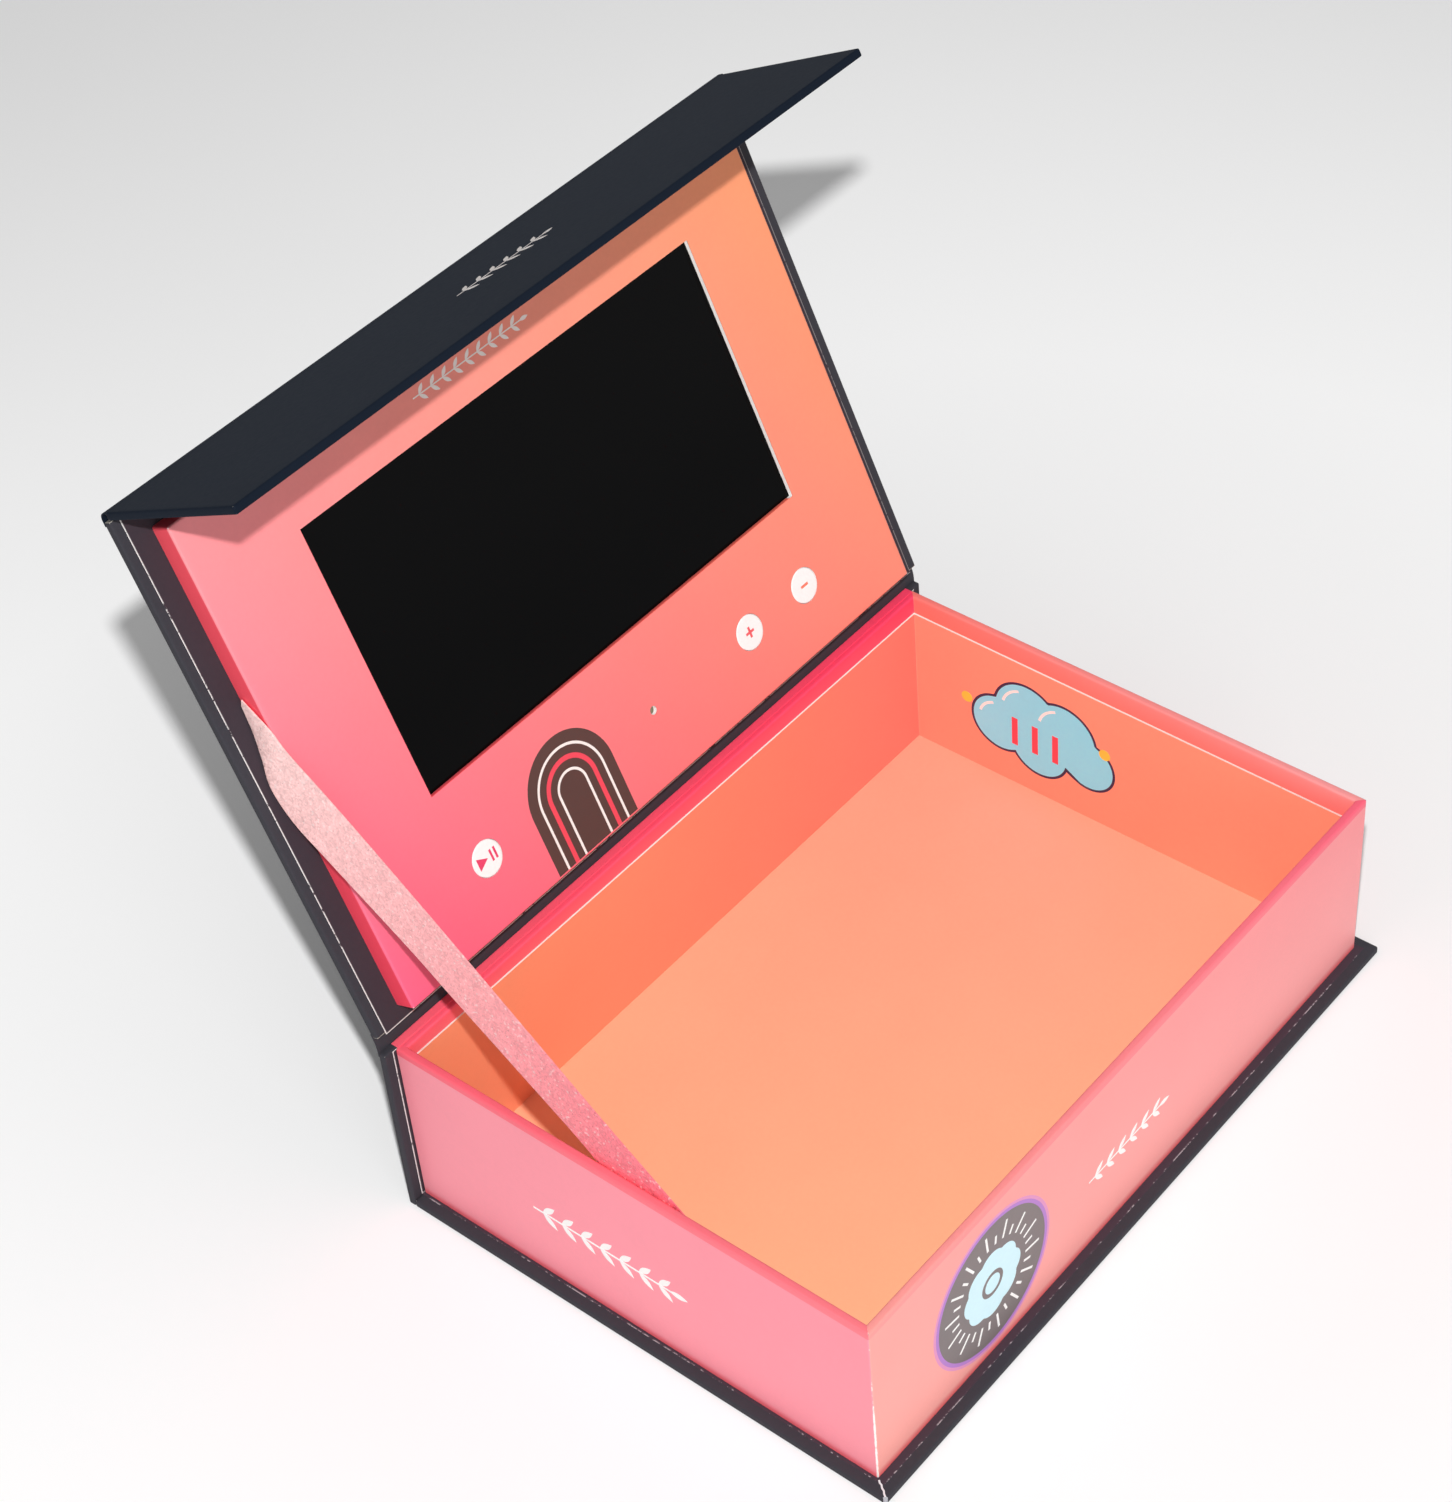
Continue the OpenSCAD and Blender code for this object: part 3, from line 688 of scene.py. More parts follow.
def crease(name, replaced, corner, along_a, along_b, paper):
    """Two plies of paper bent round a crease: a section carried along X from end to end.
    The outer face follows a parabola from board to board, pulled towards the corner point, and the inner
    face lies two plies inside it. along_a and along_b are the boards' directions away from the crease."""
    corner = np.array(corner)
    start, end = corner + along_a * crease_gap, corner + along_b * crease_gap
    s = np.linspace(0, 1, 9)[:, None]
    curve = (1 - s) ** 2 * start + 2 * s * (1 - s) * corner + s ** 2 * end
    outer = np.concatenate([[start + along_a * crease_overlap], curve, [end + along_b * crease_overlap]])
    inward = sideways(outer)
    outer = outer - inward * crease_inset
    section = np.concatenate([outer, (outer + inward * crease_plies)[::-1]])
    x = np.array([-case_half, -case_half + 0.5 * mm, case_half - 0.5 * mm, case_half])
    edge = np.repeat([0.8, 0.0, 0.0, 0.8], len(section))
    skin = carried(columns(x[:, None], *section.T))
    strip = surface(name, *skin, None, "case_wrap", [paper], [replaced], edge)
    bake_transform(strip)


wrap("lid_paper", "lid", (crease_gap, lid_len - crease_gap), on_lid, "lid_wrap", case_outer)
lining(
    "lid_lining", "lid", (crease_gap - lining_reach, lid_len - crease_gap + lining_reach), on_lid,
    ["lid_liner"], lid_lining_paper, elsewhere=0.35,
)
down_spine = np.array([0, -1.0])
crease("lid_crease", "lid_hinge_strip", lid_hinge, down_spine, away(lid_opened), case_outer)


# Flap
# The narrow flap that comes down over the tray's front, hinged on the lid's free edge by a like
# crease. Its outer paper is a deeper navy, its inner face is lined.

flap_opened = lid_opened - 86.4
flap_len = 60 * mm
flap_hinge = tuple(on_lid([[0, lid_len, 0]])[0][1:])


def on_flap(points):
    """Places x, a, h on the raised flap."""
    return hinged(points, flap_hinge, flap_opened)


flap_outer = film_paper("flap_paper", (19, 27, 39), 0.3, core=(120, 124, 130), roughness=0.6, specular=0.06)
wrap("flap_paper", "flap", (crease_gap, flap_len), on_flap, "flap_wrap", flap_outer)
lining(
    "flap_lining", "flap", (crease_gap - lining_reach, flap_len - lip), on_flap, ["flap_liner"], case_inner,
)
down_lid = -away(lid_opened)
crease("flap_crease", "flap_hinge_strip", flap_hinge, down_lid, away(flap_opened), flap_outer)


# Screen housing
# A foam frame and a card front, covered by one printed paper that turns over onto the lid.
# The paper's print blends from deep pink at the lower left to orange at the upper right.

housing_half = 109 * mm
housing_a = (6.5 * mm, 156.5 * mm)
housing_low, housing_top = 2.5 * mm, 9.5 * mm
housing_round = 0.66 * mm
window_x = (-75.2 * mm, 79 * mm)
window_a = (51.9 * mm, 135.2 * mm)
button_places = {"play": -67.9 * mm, "plus": 44.8 * mm, "minus": 70.1 * mm}
button_a = 26.8 * mm
sensor_at = (2.4 * mm, 28 * mm)
port_a = (26.1 * mm, 33.9 * mm)
port_top, port_low = 6.3 * mm, 3.4 * mm
holes = [(x, button_a, 5.42 * mm) for x in button_places.values()] + [(*sensor_at, 1.3 * mm)]


def within(values, span):
    """Where the values lie between the span's ends."""
    return (values > span[0]) & (values < span[1])


def grid_lines(span, openings, more=()):
    """Lines of a grid across a span: its ends, others 1 mm inside them, nine across every opening, which is
    given by its middle and half its width, and more where they are named."""
    low, high = span[0] + housing_round, span[1] - housing_round
    inner = [np.linspace(middle - half, middle + half, 9) for middle, half in openings]
    lines = np.concatenate([[low, low + 1 * mm, high - 1 * mm, high], *inner, more])
    return np.unique(np.round(lines, 7))


def pierced_cover(steps=5, square=1.3):
    """The housing's paper as an open skin: a flat front with a window and round holes, rounded edges, and
    sides that end on the lid, with a slot for the socket. The front is a grid whose lines pass through each
    opening's outline. Round each hole a square of cells is left out, as wide as that many hole widths. A
    ring of faces fills it from its outline to the circle, point for point along the same rays."""
    x_openings, a_openings = (
        [(hole[k], square * hole[2]) for hole in holes] + [(np.mean(window), np.ptp(window) / 2)]
        for k, window in ((0, window_x), (1, window_a))
    )
    x_lines = grid_lines((-housing_half, housing_half), x_openings)
    a_lines = grid_lines(housing_a, a_openings, port_a)
    flat = np.stack(np.meshgrid(x_lines, a_lines, indexing="ij"), -1).reshape(-1, 2)
    front = grid_faces(len(x_lines), len(a_lines))
    middle_x, middle_a = flat[front].mean(1).T
    keep = ~(within(middle_x, window_x) & within(middle_a, window_a))
    parts, faces, start = [np.insert(flat, 2, housing_top, axis=1)], [], len(flat)
    for x, a, r in holes:
        half = square * r
        keep &= ~((np.abs(middle_x - x) < half) & (np.abs(middle_a - a) < half))
        near_x, near_a = (v[np.abs(v - c) < half + joining * 10] for v, c in ((x_lines, x), (a_lines, a)))
        at, _ = outline_of(near_x, near_a, 1)
        angle = np.arctan2(at[:, 1] - a, at[:, 0] - x)
        circle = columns(x + r * np.cos(angle), a + r * np.sin(angle))
        ring = np.insert(np.stack([circle, at], 1).reshape(-1, 2), 2, housing_top, axis=1)
        ring = np.concatenate([ring, ring[:2]])
        faces.append(grid_faces(len(ring) // 2, 2, start)[:, ::-1])
        parts.append(ring)
        start += len(ring)
    at, angle = outline_of(x_lines, a_lines, steps)
    t = np.linspace(0, np.pi / 2, steps + 1)
    side_levels = [8.2 * mm, port_top, port_low, housing_low]
    out = np.concatenate([housing_round * np.sin(t), np.full(len(side_levels), housing_round)])
    drop = np.concatenate([housing_top - housing_round + housing_round * np.cos(t), side_levels])
    rim = around_outline(at, angle, out, drop)
    sides = grid_faces(len(rim), len(out))[:, ::-1]
    centre_x, centre_a, centre_h = rim.reshape(-1, 3)[sides].mean(1).T
    in_slot = (centre_x > 0.99 * housing_half) & within(centre_a, port_a)
    in_slot &= within(centre_h, (port_low, port_top))
    faces = [front[keep], *faces, sides[~in_slot] + start]
    rounding = np.append(np.sin(2 * t), np.zeros(len(side_levels)))
    edge = np.concatenate([np.zeros(start), np.tile(rounding, len(rim))])
    return np.concatenate([*parts, rim.reshape(-1, 3)]), np.concatenate(faces), edge


def housing_print(points):
    """The place in the housing's print: across from left to right, and up from the foot."""
    x, a = points[:, 0], points[:, 1]
    return np.clip(columns(x / (2 * housing_half) + 0.5, (a - housing_a[0]) / np.ptp(housing_a)), 0, 1)


# The housing's sides take a deeper copy of its print: painted shade.
front_paper, shaded_side_paper = printed_papers(
    rub=0.36,
    print_housing=((246, 96, 131), (246, 139, 117), (246, 147, 152), (246, 156, 110)),
    housing_side=((254, 74, 98), (250, 120, 100), (254, 90, 104), (252, 130, 96)),
)
points, quads, edge = pierced_cover()
on_side = (points[quads, 2].max(1) < housing_top - 0.6 * mm).astype(int)
housing_paper = surface(
    "housing_paper", on_lid(points), quads, "lid", "housing_wrap", [front_paper, shaded_side_paper],
    ["housing_wrap"], edge * 0.8, housing_print(points), on_side, closed=False,
)
thickness = housing_paper.modifiers.new("paper", "SOLIDIFY")
thickness.thickness = 0.2 * mm
thickness.offset = -1


def joined(*parts):
    """Several skins as one: their points, and their faces counted on."""
    counts = np.cumsum([0] + [len(p) for p, _ in parts[:-1]])
    faces = [f + n for (_, f), n in zip(parts, counts)]
    return np.concatenate([p for p, _ in parts]), np.concatenate(faces)


# The paper is turned in over the card's cut edge at the foot and the left side of the window, in the sides'
# deeper print, which is painted shade.
fold_h = (8.02 * mm, 9.46 * mm)
fold_back, fold_proud = 0.02 * mm, 0.12 * mm
foot_fold = block(
    (window_x[0], window_x[1] - 1.5 * mm), (window_a[0] - fold_back, window_a[0] + fold_proud), fold_h,
    0.05 * mm, steps=2, brim=0.03 * mm,
)
left_fold = block(
    (window_x[0] - fold_back, window_x[0] + fold_proud), (window_a[0] + 0.1 * mm, window_a[1]), fold_h,
    0.05 * mm, steps=2, brim=0.01 * mm,
)
points, quads = joined(foot_fold[:2], left_fold[:2])
surface(
    "window_fold", on_lid(points), quads, "lid", "housing_wrap", [shaded_side_paper], uv=housing_print(points),
)

clothe(fibrous("card", (255, 253, 250), (228, 220, 212), 0.2, 0.85, 0.05 * mm, 0.25), "housing_panel")
clothe(fibrous("foam", (52, 52, 56), (24, 24, 26), 0.7, 0.92, 0.3 * mm, 0.1), "housing_frame")


# Screen
# A 7-inch display with a black face, its metal backlight tray, the foam that presses it against
# the card, and the orange film lead that joins it to the circuit board.

# The face is black with a slow smear in its gloss, and dust: a speck in a few of the cells of a pattern.
screen_face, tree, inputs = new_finish("screen_face", Specular_IOR_Level=0.06)
dust = shader_node(tree, "TexVoronoi", {"Vector": place_on(tree), "Scale": 70.0}).outputs
chosen = shader_node(tree, "SeparateColor", {0: dust["Color"]}).outputs[0]
speck = calc(
    tree, "MULTIPLY", ramp(tree, dust["Distance"], 0.012, 0.022, 1.0, 0.0),
    calc(tree, "GREATER_THAN", chosen, 0.965),
)
black, dust_grey = (0.0015, 0.0015, 0.0017, 1.0), (0.05, 0.05, 0.05, 1.0)
tree.links.new(mix(tree, speck, black, dust_grey), inputs["Base Color"])
tree.links.new(ramp(tree, noise(tree, 30.0, 3.0), 0.0, 1.0, 0.08, 0.2), inputs["Roughness"])
clothe(screen_face, "screen_glass")
clothe(metal("backlight_tray", (190, 192, 196), 0.32, metallic=0.9), "screen_backlight")
clothe(fibrous("foam_pad", (84, 84, 88), (52, 52, 55), 0.6, 0.93, 0.3 * mm, 0.1), "screen_pad")


# Electronics
# A green circuit board with its chips, three switches, the light sensor and the charging socket,
# a flat battery behind the screen and a thin speaker, with their leads.

# Moulded plastic: a fine even grain with slow changes of gloss.
moulded, given = effect("Moulded plastic", ("Plastic",), ("Grain", "Roughness"))
pores = noise(moulded, given["Grain"], 3.0)
dull = calc(moulded, "ADD", given["Roughness"], 0.12)
give_out(
    moulded,
    Color=shaded(moulded, given["Plastic"], pores, 0.0, 1.0, 0.93, 1.07),
    Roughness=ramp(moulded, noise(moulded, 60.0, 2.0), 0.0, 1.0, given["Roughness"], dull),
    Height=pores,
)


def plastic(name, colour, roughness, grain=900.0, **constants):
    """Plastic, rubber or lacquer of one colour."""
    values = {"Plastic": ink(*colour), "Grain": grain, "Roughness": roughness}
    return finish(name, moulded, 0.01 * mm, values, **constants)


clothe(plastic("solder_mask", (28, 92, 52), 0.35, grain=300.0), "main_board")
clothe(plastic("sensor_resin", (120, 112, 88), 0.12, Coat_Weight=0.5), "light_sensor")
for node, name, colour, roughness in (
    ("board_chips", "chip_epoxy", (34, 34, 37), 0.55),
    ("switch_set", "switch_body", (48, 48, 52), 0.45),
    ("screen_flex", "flex_film", (176, 112, 40), 0.3),
    ("battery_leads", "red_lead", (170, 28, 30), 0.4),
    ("speaker_leads", "black_lead", (30, 30, 32), 0.4),
    ("speaker", "speaker_cone", (58, 58, 62), 0.6),
):
    clothe(plastic(name, colour, roughness), node)
clothe(metal("steel", (200, 200, 203), 0.22), "usb_port")
clothe(metal("battery_foil", (198, 200, 206), 0.34, metallic=0.7, depth=0.02 * mm), "battery")


# Push buttons
# Three moulded white caps, each held from behind by a flange under the card.
# Their signs are printed in the panel's colours, from pink at the left to orange at the right.

cap_top, cap_foot, flange_top = housing_top, 7.2 * mm, 7.9 * mm
flange_r, cap_r, cap_round = 6.3 * mm, 5.3 * mm, 0.3 * mm
cap_white = plastic("cap_white", (246, 245, 244), 0.38, grain=1500.0)


def turned(profile, centre):
    """Turns a profile of (radius, h) round the point (x, a) of the lid, as sections for carried()."""
    angle = np.linspace(0, 2 * np.pi, 64, endpoint=False)
    return around_outline(np.tile(centre, (len(angle), 1)), angle, *profile.T)[:-1]


def between(inner, outer, low, high):
    """Sections of a thin flat mark between two lines (n, 2), from low to high."""
    sections = np.empty((len(outer), 4, 3))
    sections[:, 0, :2] = sections[:, 3, :2] = inner
    sections[:, 1, :2] = sections[:, 2, :2] = outer
    sections[:, :2, 2], sections[:, 2:, 2] = low, high
    return sections


def inlay(outline, hole, low, high):
    """A thin flat mark between two outlines with the same number of points."""
    return carried(between(hole, outline, low, high), round_and_round=True)


def filled(outline, middle, low, high):
    """A thin flat mark that fills an outline (n, 2) from a point in it."""
    return inlay(outline, np.broadcast_to(middle, outline.shape), low, high)


def polygon_mark(corners, low, high, per_side=4):
    """A filled polygon as a thin flat mark: each side in equal steps, filled from the middle."""
    s = np.linspace(0, 1, per_side, endpoint=False)[None, :, None]
    outline = (corners[:, None] * (1 - s) + np.roll(corners, -1, 0)[:, None] * s).reshape(-1, 2)
    return filled(outline, corners.mean(0), low, high)


def bar(x, a, width, length):
    """Corners of an upright bar about the point (x, a), in millimetres."""
    left, right, foot, top = x - width / 2, x + width / 2, a - length / 2, a + length / 2
    return [(left, foot), (right, foot), (right, top), (left, top)]


t = np.linspace(0, np.pi / 2, 5)
cap_profile = np.concatenate([
    [[0, cap_foot], [flange_r, cap_foot], [flange_r, flange_top], [cap_r, flange_top]],
    columns(cap_r - cap_round + cap_round * np.cos(t), cap_top - cap_round + cap_round * np.sin(t)),
    [[4.4 * mm, cap_top], [0, cap_top]],
])
sign_span = (cap_top - 0.05 * mm, cap_top + 0.04 * mm)
triangle = [(-3.6, -1.9), (0.1, 0), (-3.6, 1.9)]
signs = {
    "play": ((226, 62, 104), [triangle, bar(1.6, 0, 0.7, 3.6), bar(3.1, 0, 0.7, 3.6)]),
    "plus": ((236, 92, 98), [bar(0, 0, 3.4, 0.8), bar(0, 1.05, 0.8, 1.3), bar(0, -1.05, 0.8, 1.3)]),
    "minus": ((240, 122, 96), [bar(0, 0, 3.0, 0.8)]),
}
for name, x in button_places.items():
    body, centre = name + "_button", (x, button_a)
    points, quads = carried(turned(cap_profile, centre), round_and_round=True)
    surface(name + "_cap", on_lid(points), quads, body, "button", [cap_white], [body])
    colour, shapes = signs[name]
    points, quads = joined(*(polygon_mark(np.array(shape) * mm + centre, *sign_span) for shape in shapes))
    sign_ink = plastic(name + "_ink", colour, 0.5, grain=1200.0)
    surface(name + "_sign", on_lid(points), quads, body, "button", [sign_ink])


# Ribbon stay
# A 16 mm ribbon covered with pink glitter. Its upper end is pinched into the seam beside the
# housing, it crosses slackly to the tray's left wall, and it is glued there under the lining.

ribbon_t = 0.5 * mm
# Its two edges, in millimetres: x, a, h on the lid, and then x, y, z.
lid_upper = [(-109.6, 105.5, 4.2), (-109.6, 102, 6.6), (-109.5, 96.5, 10), (-109.4, 89.5, 12.6),
             (-109.4, 79, 19), (-109.4, 66, 26.6)]
tray_upper = [(-109.9, 60, 119.1), (-110.2, 45.7, 108.2), (-111.4, 9.4, 81.6), (-112, -9, 68.7),
              (-112.2, -27.7, 54.7)]
lid_lower = [(-109.8, 103.5, 3.1), (-110.4, 95.5, 3.1), (-111.6, 88.5, 3.1), (-113.2, 80.5, 3.2),
             (-113.1, 69.8, 5.4), (-113, 58, 12.6)]
tray_lower = [(-112.1, 69.3, 105.4), (-112.1, 55, 94.8), (-112.1, 18.7, 68.6), (-112.2, 9.5, 61),
              (-112.2, 1.4, 54.7)]


def smooth_line(lid_part, tray_part, steps=8):
    """The smooth curve through the points: on the span between two of them, the cubic whose slope at each
    end is half the step between that end's neighbours."""
    points = np.concatenate([on_lid(np.array(lid_part) * mm), np.array(tray_part) * mm])
    before = np.maximum(np.arange(len(points) - 1) - 1, 0)
    after = np.minimum(np.arange(len(points) - 1) + 2, len(points) - 1)
    a, b, c, d = (v[:, None] for v in (points[before], points[:-1], points[1:], points[after]))
    s = np.linspace(0, 1, steps, endpoint=False)[None, :, None]
    squared, cubed = 2 * a - 5 * b + 4 * c - d, 3 * b - a - 3 * c + d
    curve = b + (c - a) * s / 2 + squared * s ** 2 / 2 + cubed * s ** 3 / 2
    return np.concatenate([curve.reshape(-1, 3), points[-1:]])


# Its section is a flat oval whose sine and cosine are raised to small powers, which squares it off.
upper_edge, lower_edge = smooth_line(lid_upper, tray_upper), smooth_line(lid_lower, tray_lower)
middle = (upper_edge + lower_edge) / 2
facing = np.cross(lower_edge - upper_edge, np.gradient(middle, axis=0))
facing /= np.linalg.norm(facing, axis=1)[:, None]
turn = np.linspace(0, 2 * np.pi, 32, endpoint=False) + np.pi / 32
share = (0.5 - 0.5 * np.sign(np.cos(turn)) * np.abs(np.cos(turn)) ** 0.7)[None, :, None]
off = (ribbon_t / 2 * np.sign(np.sin(turn)) * np.abs(np.sin(turn)) ** 0.25)[None, :, None]
sections = upper_edge[:, None] * (1 - share) + lower_edge[:, None] * share + facing[:, None] * off
width = np.linalg.norm(lower_edge - upper_edge, axis=1)
length = np.append(0, np.cumsum(np.linalg.norm(np.diff(middle, axis=0), axis=1)))
uv = columns(share[:, :, 0] * width[:, None], length[:, None])

# Glitter: a mosaic of grains, each with its own brightness and gloss, paler at the ribbon's upper end as a
# painted highlight.
glitter, tree, inputs = new_finish("glitter", Specular_IOR_Level=0.4)
grains = shader_node(tree, "TexVoronoi", {"Vector": place_on(tree), "Scale": 1700.0}).outputs["Color"]
chosen = shader_node(tree, "SeparateColor", {0: grains}).outputs
light = mix(tree, 0.6, chosen[0], noise(tree, 330.0, 3.0, distortion=1.0), kind="FLOAT")
painted_highlight_fade = ramp(tree, uv_of(tree, "ribbon")["Y"], 0.0, 0.16)
ground = mix(tree, painted_highlight_fade, ink(255, 218, 214), ink(254, 116, 132))
toned = shaded(tree, ground, light, 0.3, 0.72, 0.86, 1.12)
# A few grains are mixed towards near-white: painted glints.
painted_glints = ramp(tree, chosen[1], 0.92, 0.96, 0.0, 0.4)
tree.links.new(mix(tree, painted_glints, toned, ink(255, 238, 236)), inputs["Base Color"])
tree.links.new(ramp(tree, chosen[1], 0.0, 1.0, 0.25, 0.65), inputs["Roughness"])
tree.links.new(ramp(tree, chosen[2], 0.7, 1.0, 0.0, 0.3), inputs["Metallic"])
relief = shader_node(tree, "Bump", {"Distance": 0.6 * mm, "Strength": 0.9, "Height": light})
tree.links.new(relief.outputs["Normal"], inputs["Normal"])

ribbon = surface(
    "ribbon_stay", *carried(sections), None, "ribbon", [glitter], ["ribbon"], uv=uv, map_name="ribbon",
)
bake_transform(ribbon)


# Prints
# Plain printed ornaments: an arch on the housing, a rosette on the tray's front wall, a cloud
# inside its right wall, and leaf garlands. Each lies in the paper as a thin skin of ink.

ink_t = 0.03 * mm
sunk = 0.02 * mm


def print_ink(name, *colour, roughness=0.45):
    """Printed ink under the film."""
    return film_paper(name, colour, rub=0.0, grain=0.03, roughness=roughness)


def stamped(name, place, paper, *parts):
    """One colour of a print: its flat marks, put in place. The place is a function, a body and a slot."""
    placed, body, slot = place
    points, quads = joined(*parts)
    surface(name, placed(points), quads, body, slot, [paper])


def arc(centre, radius, angles):
    """Points at a radius from a centre, in the directions of the angles. The radius may be an array."""
    return np.array(centre) + columns(radius * np.cos(angles), radius * np.sin(angles))


def circle(centre, radius, n):
    """Points of a circle, or of a closed curve if the radius is an array."""
    return arc(centre, radius, np.linspace(0, 2 * np.pi, n, endpoint=False))


def disc(centre, radius, low, high, n):
    """A filled circle."""
    return filled(circle(centre, radius, n), centre, low, high)


def stroke(path, width, low, high):
    """A line of even width along a path (n, 2): half the width is laid off to each side of it."""
    off = sideways(path) * width / 2
    return carried(between(path - off, path + off, low, high))


def garland(centre, length, leaf, pairs, low, high, stem=0.35 * mm):
    """A straight stem with pairs of leaves: each leaf lies between two mirrored sine arches, leaning
    forwards, and a single one ends the stem."""
    lean, plumpness = 0.75, 0.17
    s = np.linspace(0, np.pi, 11)
    half = columns(leaf * s / np.pi, plumpness * leaf * np.sin(s))
    arch = np.concatenate([half, (half * [1, -1])[-2:0:-1]])
    vein = columns(arch[:, 0] * 0.8 + leaf * 0.1, 0.0)
    stalk = columns(np.linspace(-length / 2, length / 2 - leaf / 2, 12), 0.0)
    parts = [stroke(stalk + centre, stem, low, high + sunk)]
    step = length / (pairs + 1)
    places = [(-length / 2 + (k + 0.5) * step, way) for k in range(pairs) for way in (lean, -lean)]
    for along, way in [*places, (length / 2 - leaf, 0.0)]:
        turn = np.array([[math.cos(way), math.sin(way)], [-math.sin(way), math.cos(way)]])
        at = [centre[0] + along, centre[1]]
        parts.append(inlay(arch @ turn + at, vein @ turn + at, low, high))
    return parts


def on_front(points):
    """Places x, z and a height out of the front wall's face."""
    return columns(points[:, 0], -tray_half_y - points[:, 2], points[:, 1])


def facing_left(face_x):
    """For a face that looks left at that x: places a distance towards the front, z and a height out of it."""
    return lambda points: columns(face_x - points[:, 2], -points[:, 0], points[:, 1])


panel = (on_lid, "lid", "housing_wrap")
front_wall = (on_front, "base", "tray_wrap")
left_wall = (facing_left(-tray_half_x), "base", "tray_wrap")
right_inside = (facing_left(tray_half_x - lining_face * mm), "base", "tray_liner")
skin, skin_over, skin_top = (-sunk, ink_t), (0, 2 * ink_t), (0, 3 * ink_t)
charcoal = print_ink("print_charcoal", 84, 58, 54)
pale = print_ink("print_pale", 244, 236, 232)
rose = print_ink("print_rose", 236, 74, 92)
violet = print_ink("print_violet", 184, 128, 206)
lilac = print_ink("print_lilac", 228, 150, 196)
grey = print_ink("print_grey", 122, 112, 112, roughness=0.35)
light_blue = print_ink("print_blue", 212, 244, 252)
white = print_ink("print_white", 252, 250, 248)
navy = print_ink("print_navy", 58, 44, 78)
sky = print_ink("print_sky", 140, 232, 255)
yellow = print_ink("print_yellow", 244, 206, 76)

# The arch: a dark shape with a round top that stands on the housing's lower edge, with bows in it.
face = (housing_top - sunk, housing_top + ink_t)
over = (housing_top, housing_top + 2 * ink_t)
arch_x, arch_a, arch_r, arch_foot = -33 * mm, 26 * mm, 16.5 * mm, 7.3 * mm


def bow(radius):
    """An arch's line: straight up from its foot, round the top, and down again."""
    top = arc((arch_x, arch_a), radius, np.linspace(0, np.pi, 40))
    right = columns(arch_x + radius, np.linspace(arch_foot, arch_a, 8)[:-1])
    return np.concatenate([right, top, (right * [-1, 1] + [2 * arch_x, 0])[::-1]])


stamped("arch_ground", panel, charcoal, filled(bow(arch_r), [arch_x, 18 * mm], *face))
stamped("arch_bows", panel, pale, *(stroke(bow(r * mm), 0.8 * mm, *over) for r in (12.6, 5.4)))
stamped("arch_rose_bow", panel, rose, stroke(bow(9.0 * mm), 1.5 * mm, *over))

# The rosette: a grey disc in a violet ring, with a pale blue flower in a wreath of fine white rays.
rose_at, rose_r = (-64.6 * mm, 30.5 * mm), 23.2 * mm
ray_count = 28


def ring(inner, outer, low, high):
    """A flat ring about the rosette's rim, between two distances from it in millimetres."""
    outline, hole = (circle(rose_at, rose_r + reach * mm, 96) for reach in (outer, inner))
    return inlay(outline, hole, low, high)


stamped("rosette_halo", front_wall, lilac, ring(0.8, 2.2, *skin))
stamped("rosette_ring", front_wall, violet, ring(-0.2, 1.2, -sunk, 1.5 * ink_t))
stamped("rosette_ground", front_wall, grey, disc(rose_at, rose_r, *skin_over, 96))
around = np.linspace(0, 2 * np.pi, 120, endpoint=False)
petals = circle(rose_at, 11 * mm + 1.3 * mm * np.abs(np.cos(4 * around)) ** 0.7, 120)
stamped(
    "rosette_flower", front_wall, light_blue, inlay(petals, circle(rose_at, 4.6 * mm, 120), *skin_top),
    disc(rose_at, 3.2 * mm, *skin_top, 40),
)
rays = []
for k in range(ray_count):
    reach = np.linspace(14.6, 20.6 if k % 2 else 17.6, 4) * mm
    rays.append(stroke(arc(rose_at, reach, 2 * math.pi * (k + 0.5) / ray_count), 0.8 * mm, *skin_top))
stamped("rosette_rays", front_wall, white, *rays)

# The cloud: pale blue with a dark outline, three white gleams, three rose drops and two yellow dots.
cloud_at = np.array([-31 * mm, 29.5 * mm])
puffs = np.array([[-14.5, -2, 10], [-4.5, 6, 11.5], [9, 4.5, 11.5], [18, -2.5, 9], [0, -5.5, 10]]) * mm


def puffed(extra, n=160):
    """The outline of several overlapping circles, each grown by extra: along every ray from the middle,
    the farthest point at which it leaves a circle."""
    around = np.linspace(0, 2 * np.pi, n, endpoint=False)
    ray = columns(np.cos(around), np.sin(around))
    along = ray @ puffs[:, :2].T
    inside = (puffs[:, 2] + extra) ** 2 - (puffs[:, :2] ** 2).sum(1) + along ** 2
    reach = np.where(inside > 0, along + np.sqrt(np.maximum(inside, 0)), 0).max(1)
    return cloud_at + ray * reach[:, None]


def drop(x):
    """The line of an upright drop, x millimetres from the cloud's middle."""
    return columns(x, np.linspace(-8, 3, 6)) * mm + cloud_at


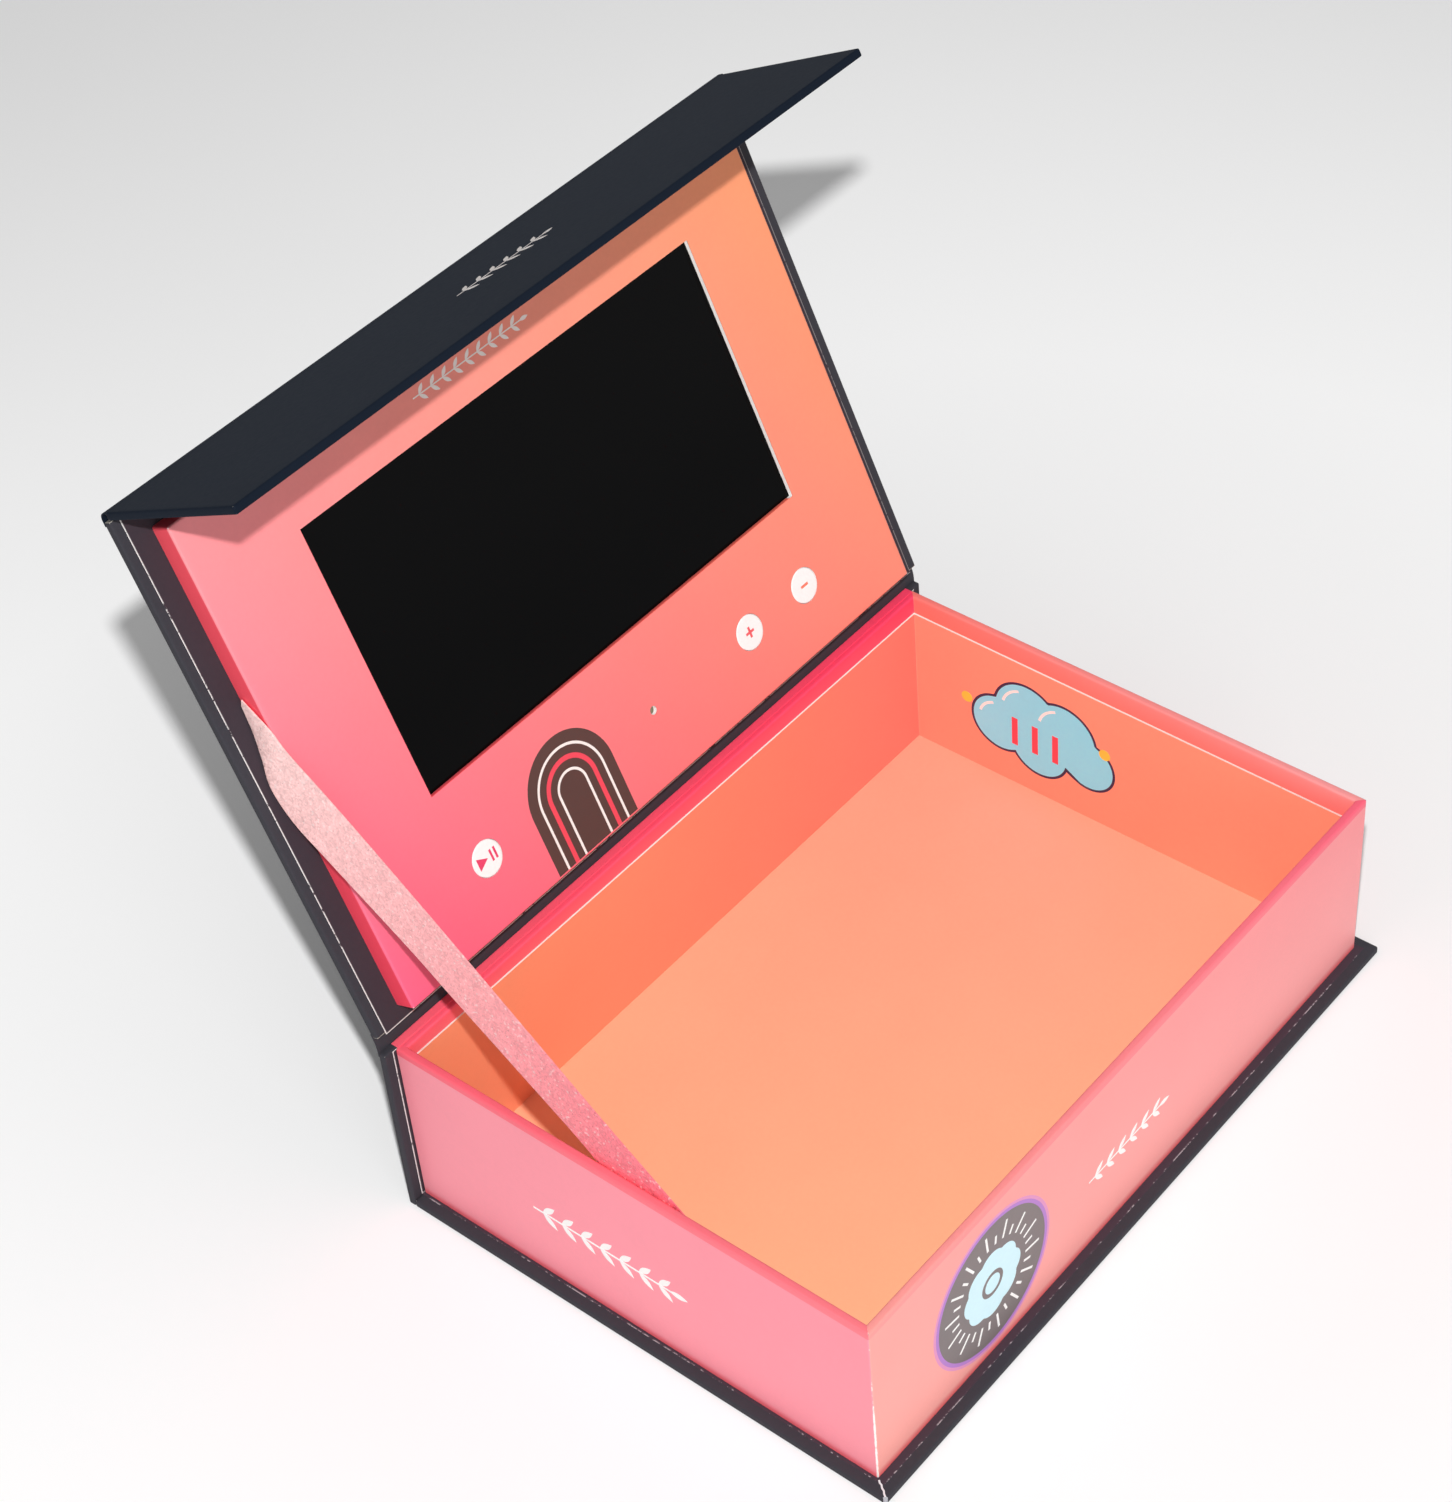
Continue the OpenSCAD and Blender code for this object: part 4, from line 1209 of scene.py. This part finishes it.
outline = puffed(0)
gleam_places, gleam_turn = ((-4.5, 6, 9), (9, 4.5, 9), (-14.5, -2, 7.6)), np.linspace(1.9, 2.9, 16)
stamped(
    "cloud_outline", right_inside, navy,
    inlay(puffed(0.9 * mm), outline + (cloud_at - outline) * 0.05, *skin),
)
stamped("cloud_ground", right_inside, sky, filled(outline, cloud_at, *skin_over))
stamped("cloud_gleams", right_inside, white, *(
    stroke(arc(cloud_at + np.array([x, y]) * mm, r * mm, gleam_turn), 0.9 * mm, *skin_top)
    for x, y, r in gleam_places
))
stamped("cloud_drops", right_inside, rose, *(stroke(drop(x), 2.2 * mm, *skin_top) for x in (-9, -1.5, 6)))
stamped("cloud_dots", right_inside, yellow, *(
    disc(cloud_at + np.array(at) * mm, 2 * mm, *skin_top, 32) for at in ((-27, 2.5), (24, 5))
))

# A pale crack crosses the base's front left corner, where the paper is worn through.
crack = np.array([
    [-115.3, -80.5], [-115.9, -81.2], [-116.1, -81.9], [-116.8, -82.6], [-117.2, -83.5],
    [-117.9, -84.1], [-118.4, -84.9],
]) * mm
worn_paper = film_paper("worn_paper", (222, 220, 222), rub=0.0, grain=0.15)
crack_line = stroke(crack, 0.5 * mm, 2.4 * mm, 2.53 * mm)
stamped("corner_crack", (lying, "base", "case_wrap"), worn_paper, crack_line)

# Small white garlands on the left and front walls, and pale ones on the flap and the housing.
stamped("garland_left", left_wall, white, *garland(
    (-8 * mm, 28.5 * mm), 54 * mm, 6.4 * mm, 7, *skin, stem=0.7 * mm))
stamped("garland_front", front_wall, white, *garland(
    (-2 * mm, 28 * mm), 38 * mm, 5 * mm, 6, *skin, stem=0.5 * mm))
stamped("garland_flap", (on_flap, "flap", "case_wrap"), pale, *garland(
    (4.5 * mm, 28.5 * mm), 37 * mm, 4.4 * mm, 6, -ink_t, sunk, stem=0.45 * mm))
stamped("garland_housing", panel, pale, *garland((-4.5 * mm, 145.5 * mm), 45 * mm, 3.4 * mm, 9, *face))


# Table and light
# A plain pale table, a lamp as small and high as the one in the photograph, a large dim lamp
# that fills its shadows, and an even pale room.

table_r = 20
table_rim = circle((0, 0), table_r, 96)
mesh = bpy.data.meshes.new("table")
mesh.from_pydata(np.insert(table_rim, 2, 0, axis=1).tolist(), [], [tuple(range(len(table_rim)))])
table = put_in("table", mesh)

# The table glows a little for the camera and in reflections: a painted pool of light near the object, and a
# pale haze far off.
table_top, tree, inputs = new_finish("table_top", Roughness=0.8, Specular_IOR_Level=0.1)
tree.links.new(ramp(tree, noise(tree, 4.0, 2.0), 0.0, 1.0, 0.93, 0.95), inputs["Base Color"])
away_from_middle = shader_node(tree, "VectorMath", {0: place_on(tree)}, operation="LENGTH").outputs["Value"]
haze = ramp(tree, away_from_middle, 1.2, 6.0, 0.0, 0.55, interpolation_type="SMOOTHSTEP")
fading = ramp(tree, away_from_middle, 0.3, 0.85, 0.12, 0.0, interpolation_type="SMOOTHSTEP")
rising = ramp(tree, away_from_middle, 0.15, 0.35, 0.02, 0.12)
painted_glow = calc(tree, "ADD", haze, calc(tree, "MINIMUM", fading, rising))
ray = shader_node(tree, "LightPath").outputs
seen = calc(tree, "MAXIMUM", ray["Is Camera Ray"], ray["Is Glossy Ray"])
inputs["Emission Color"].default_value = (1, 1, 1, 1)
tree.links.new(calc(tree, "MULTIPLY", painted_glow, seen), inputs["Emission Strength"])
table.data.materials.append(table_top)

# The lamp stands beside the camera, a hand's breadth above it. Its light doesn't fade with distance.
lamp = put_in("lamp", bpy.data.lights.new("lamp", "POINT"))
lamp.location = (-0.457, -0.379, 0.812)
lamp.data.energy = 0.82 * 4 * math.pi ** 2
lamp.data.shadow_soft_size = 0.011
lamp.data.use_nodes = True
tree = lamp.data.node_tree
steady = shader_node(tree, "LightFalloff", {"Strength": 1.0}).outputs["Constant"]
tree.links.new(steady, tree.nodes["Emission"].inputs["Strength"])

# A large dim lamp low at the front left fills the two walls that the first one only grazes.
fill_distance = 2.2
fill = put_in("fill", bpy.data.lights.new("fill", "AREA"))
fill.data.size = 1.2
fill.data.energy = 0.22 * math.pi ** 2 * fill_distance ** 2
turn_z, turn_x = Matrix.Rotation(math.radians(-27), 4, "Z"), Matrix.Rotation(math.radians(75), 4, "X")
fill.matrix_world = Matrix.Translation((-1.0, -1.9, 0.6)) @ turn_z @ turn_x

# The room is dim as a light and pale where it is seen, mirrored or looked through to.
room = bpy.data.worlds.new("room")
bpy.context.scene.world = room
room.use_nodes = True
tree = room.node_tree
ray = shader_node(tree, "LightPath").outputs
seen = calc(tree, "MAXIMUM", ray["Is Camera Ray"], ray["Is Transmission Ray"])
seen = calc(tree, "MAXIMUM", seen, ray["Is Glossy Ray"])
backdrop = tree.nodes["Background"].inputs
backdrop["Color"].default_value = (1, 1, 1, 1)
tree.links.new(ramp(tree, seen, 0.0, 1.0, 0.22, 0.85), backdrop["Strength"])

bpy.context.scene.view_settings.view_transform = "Standard"

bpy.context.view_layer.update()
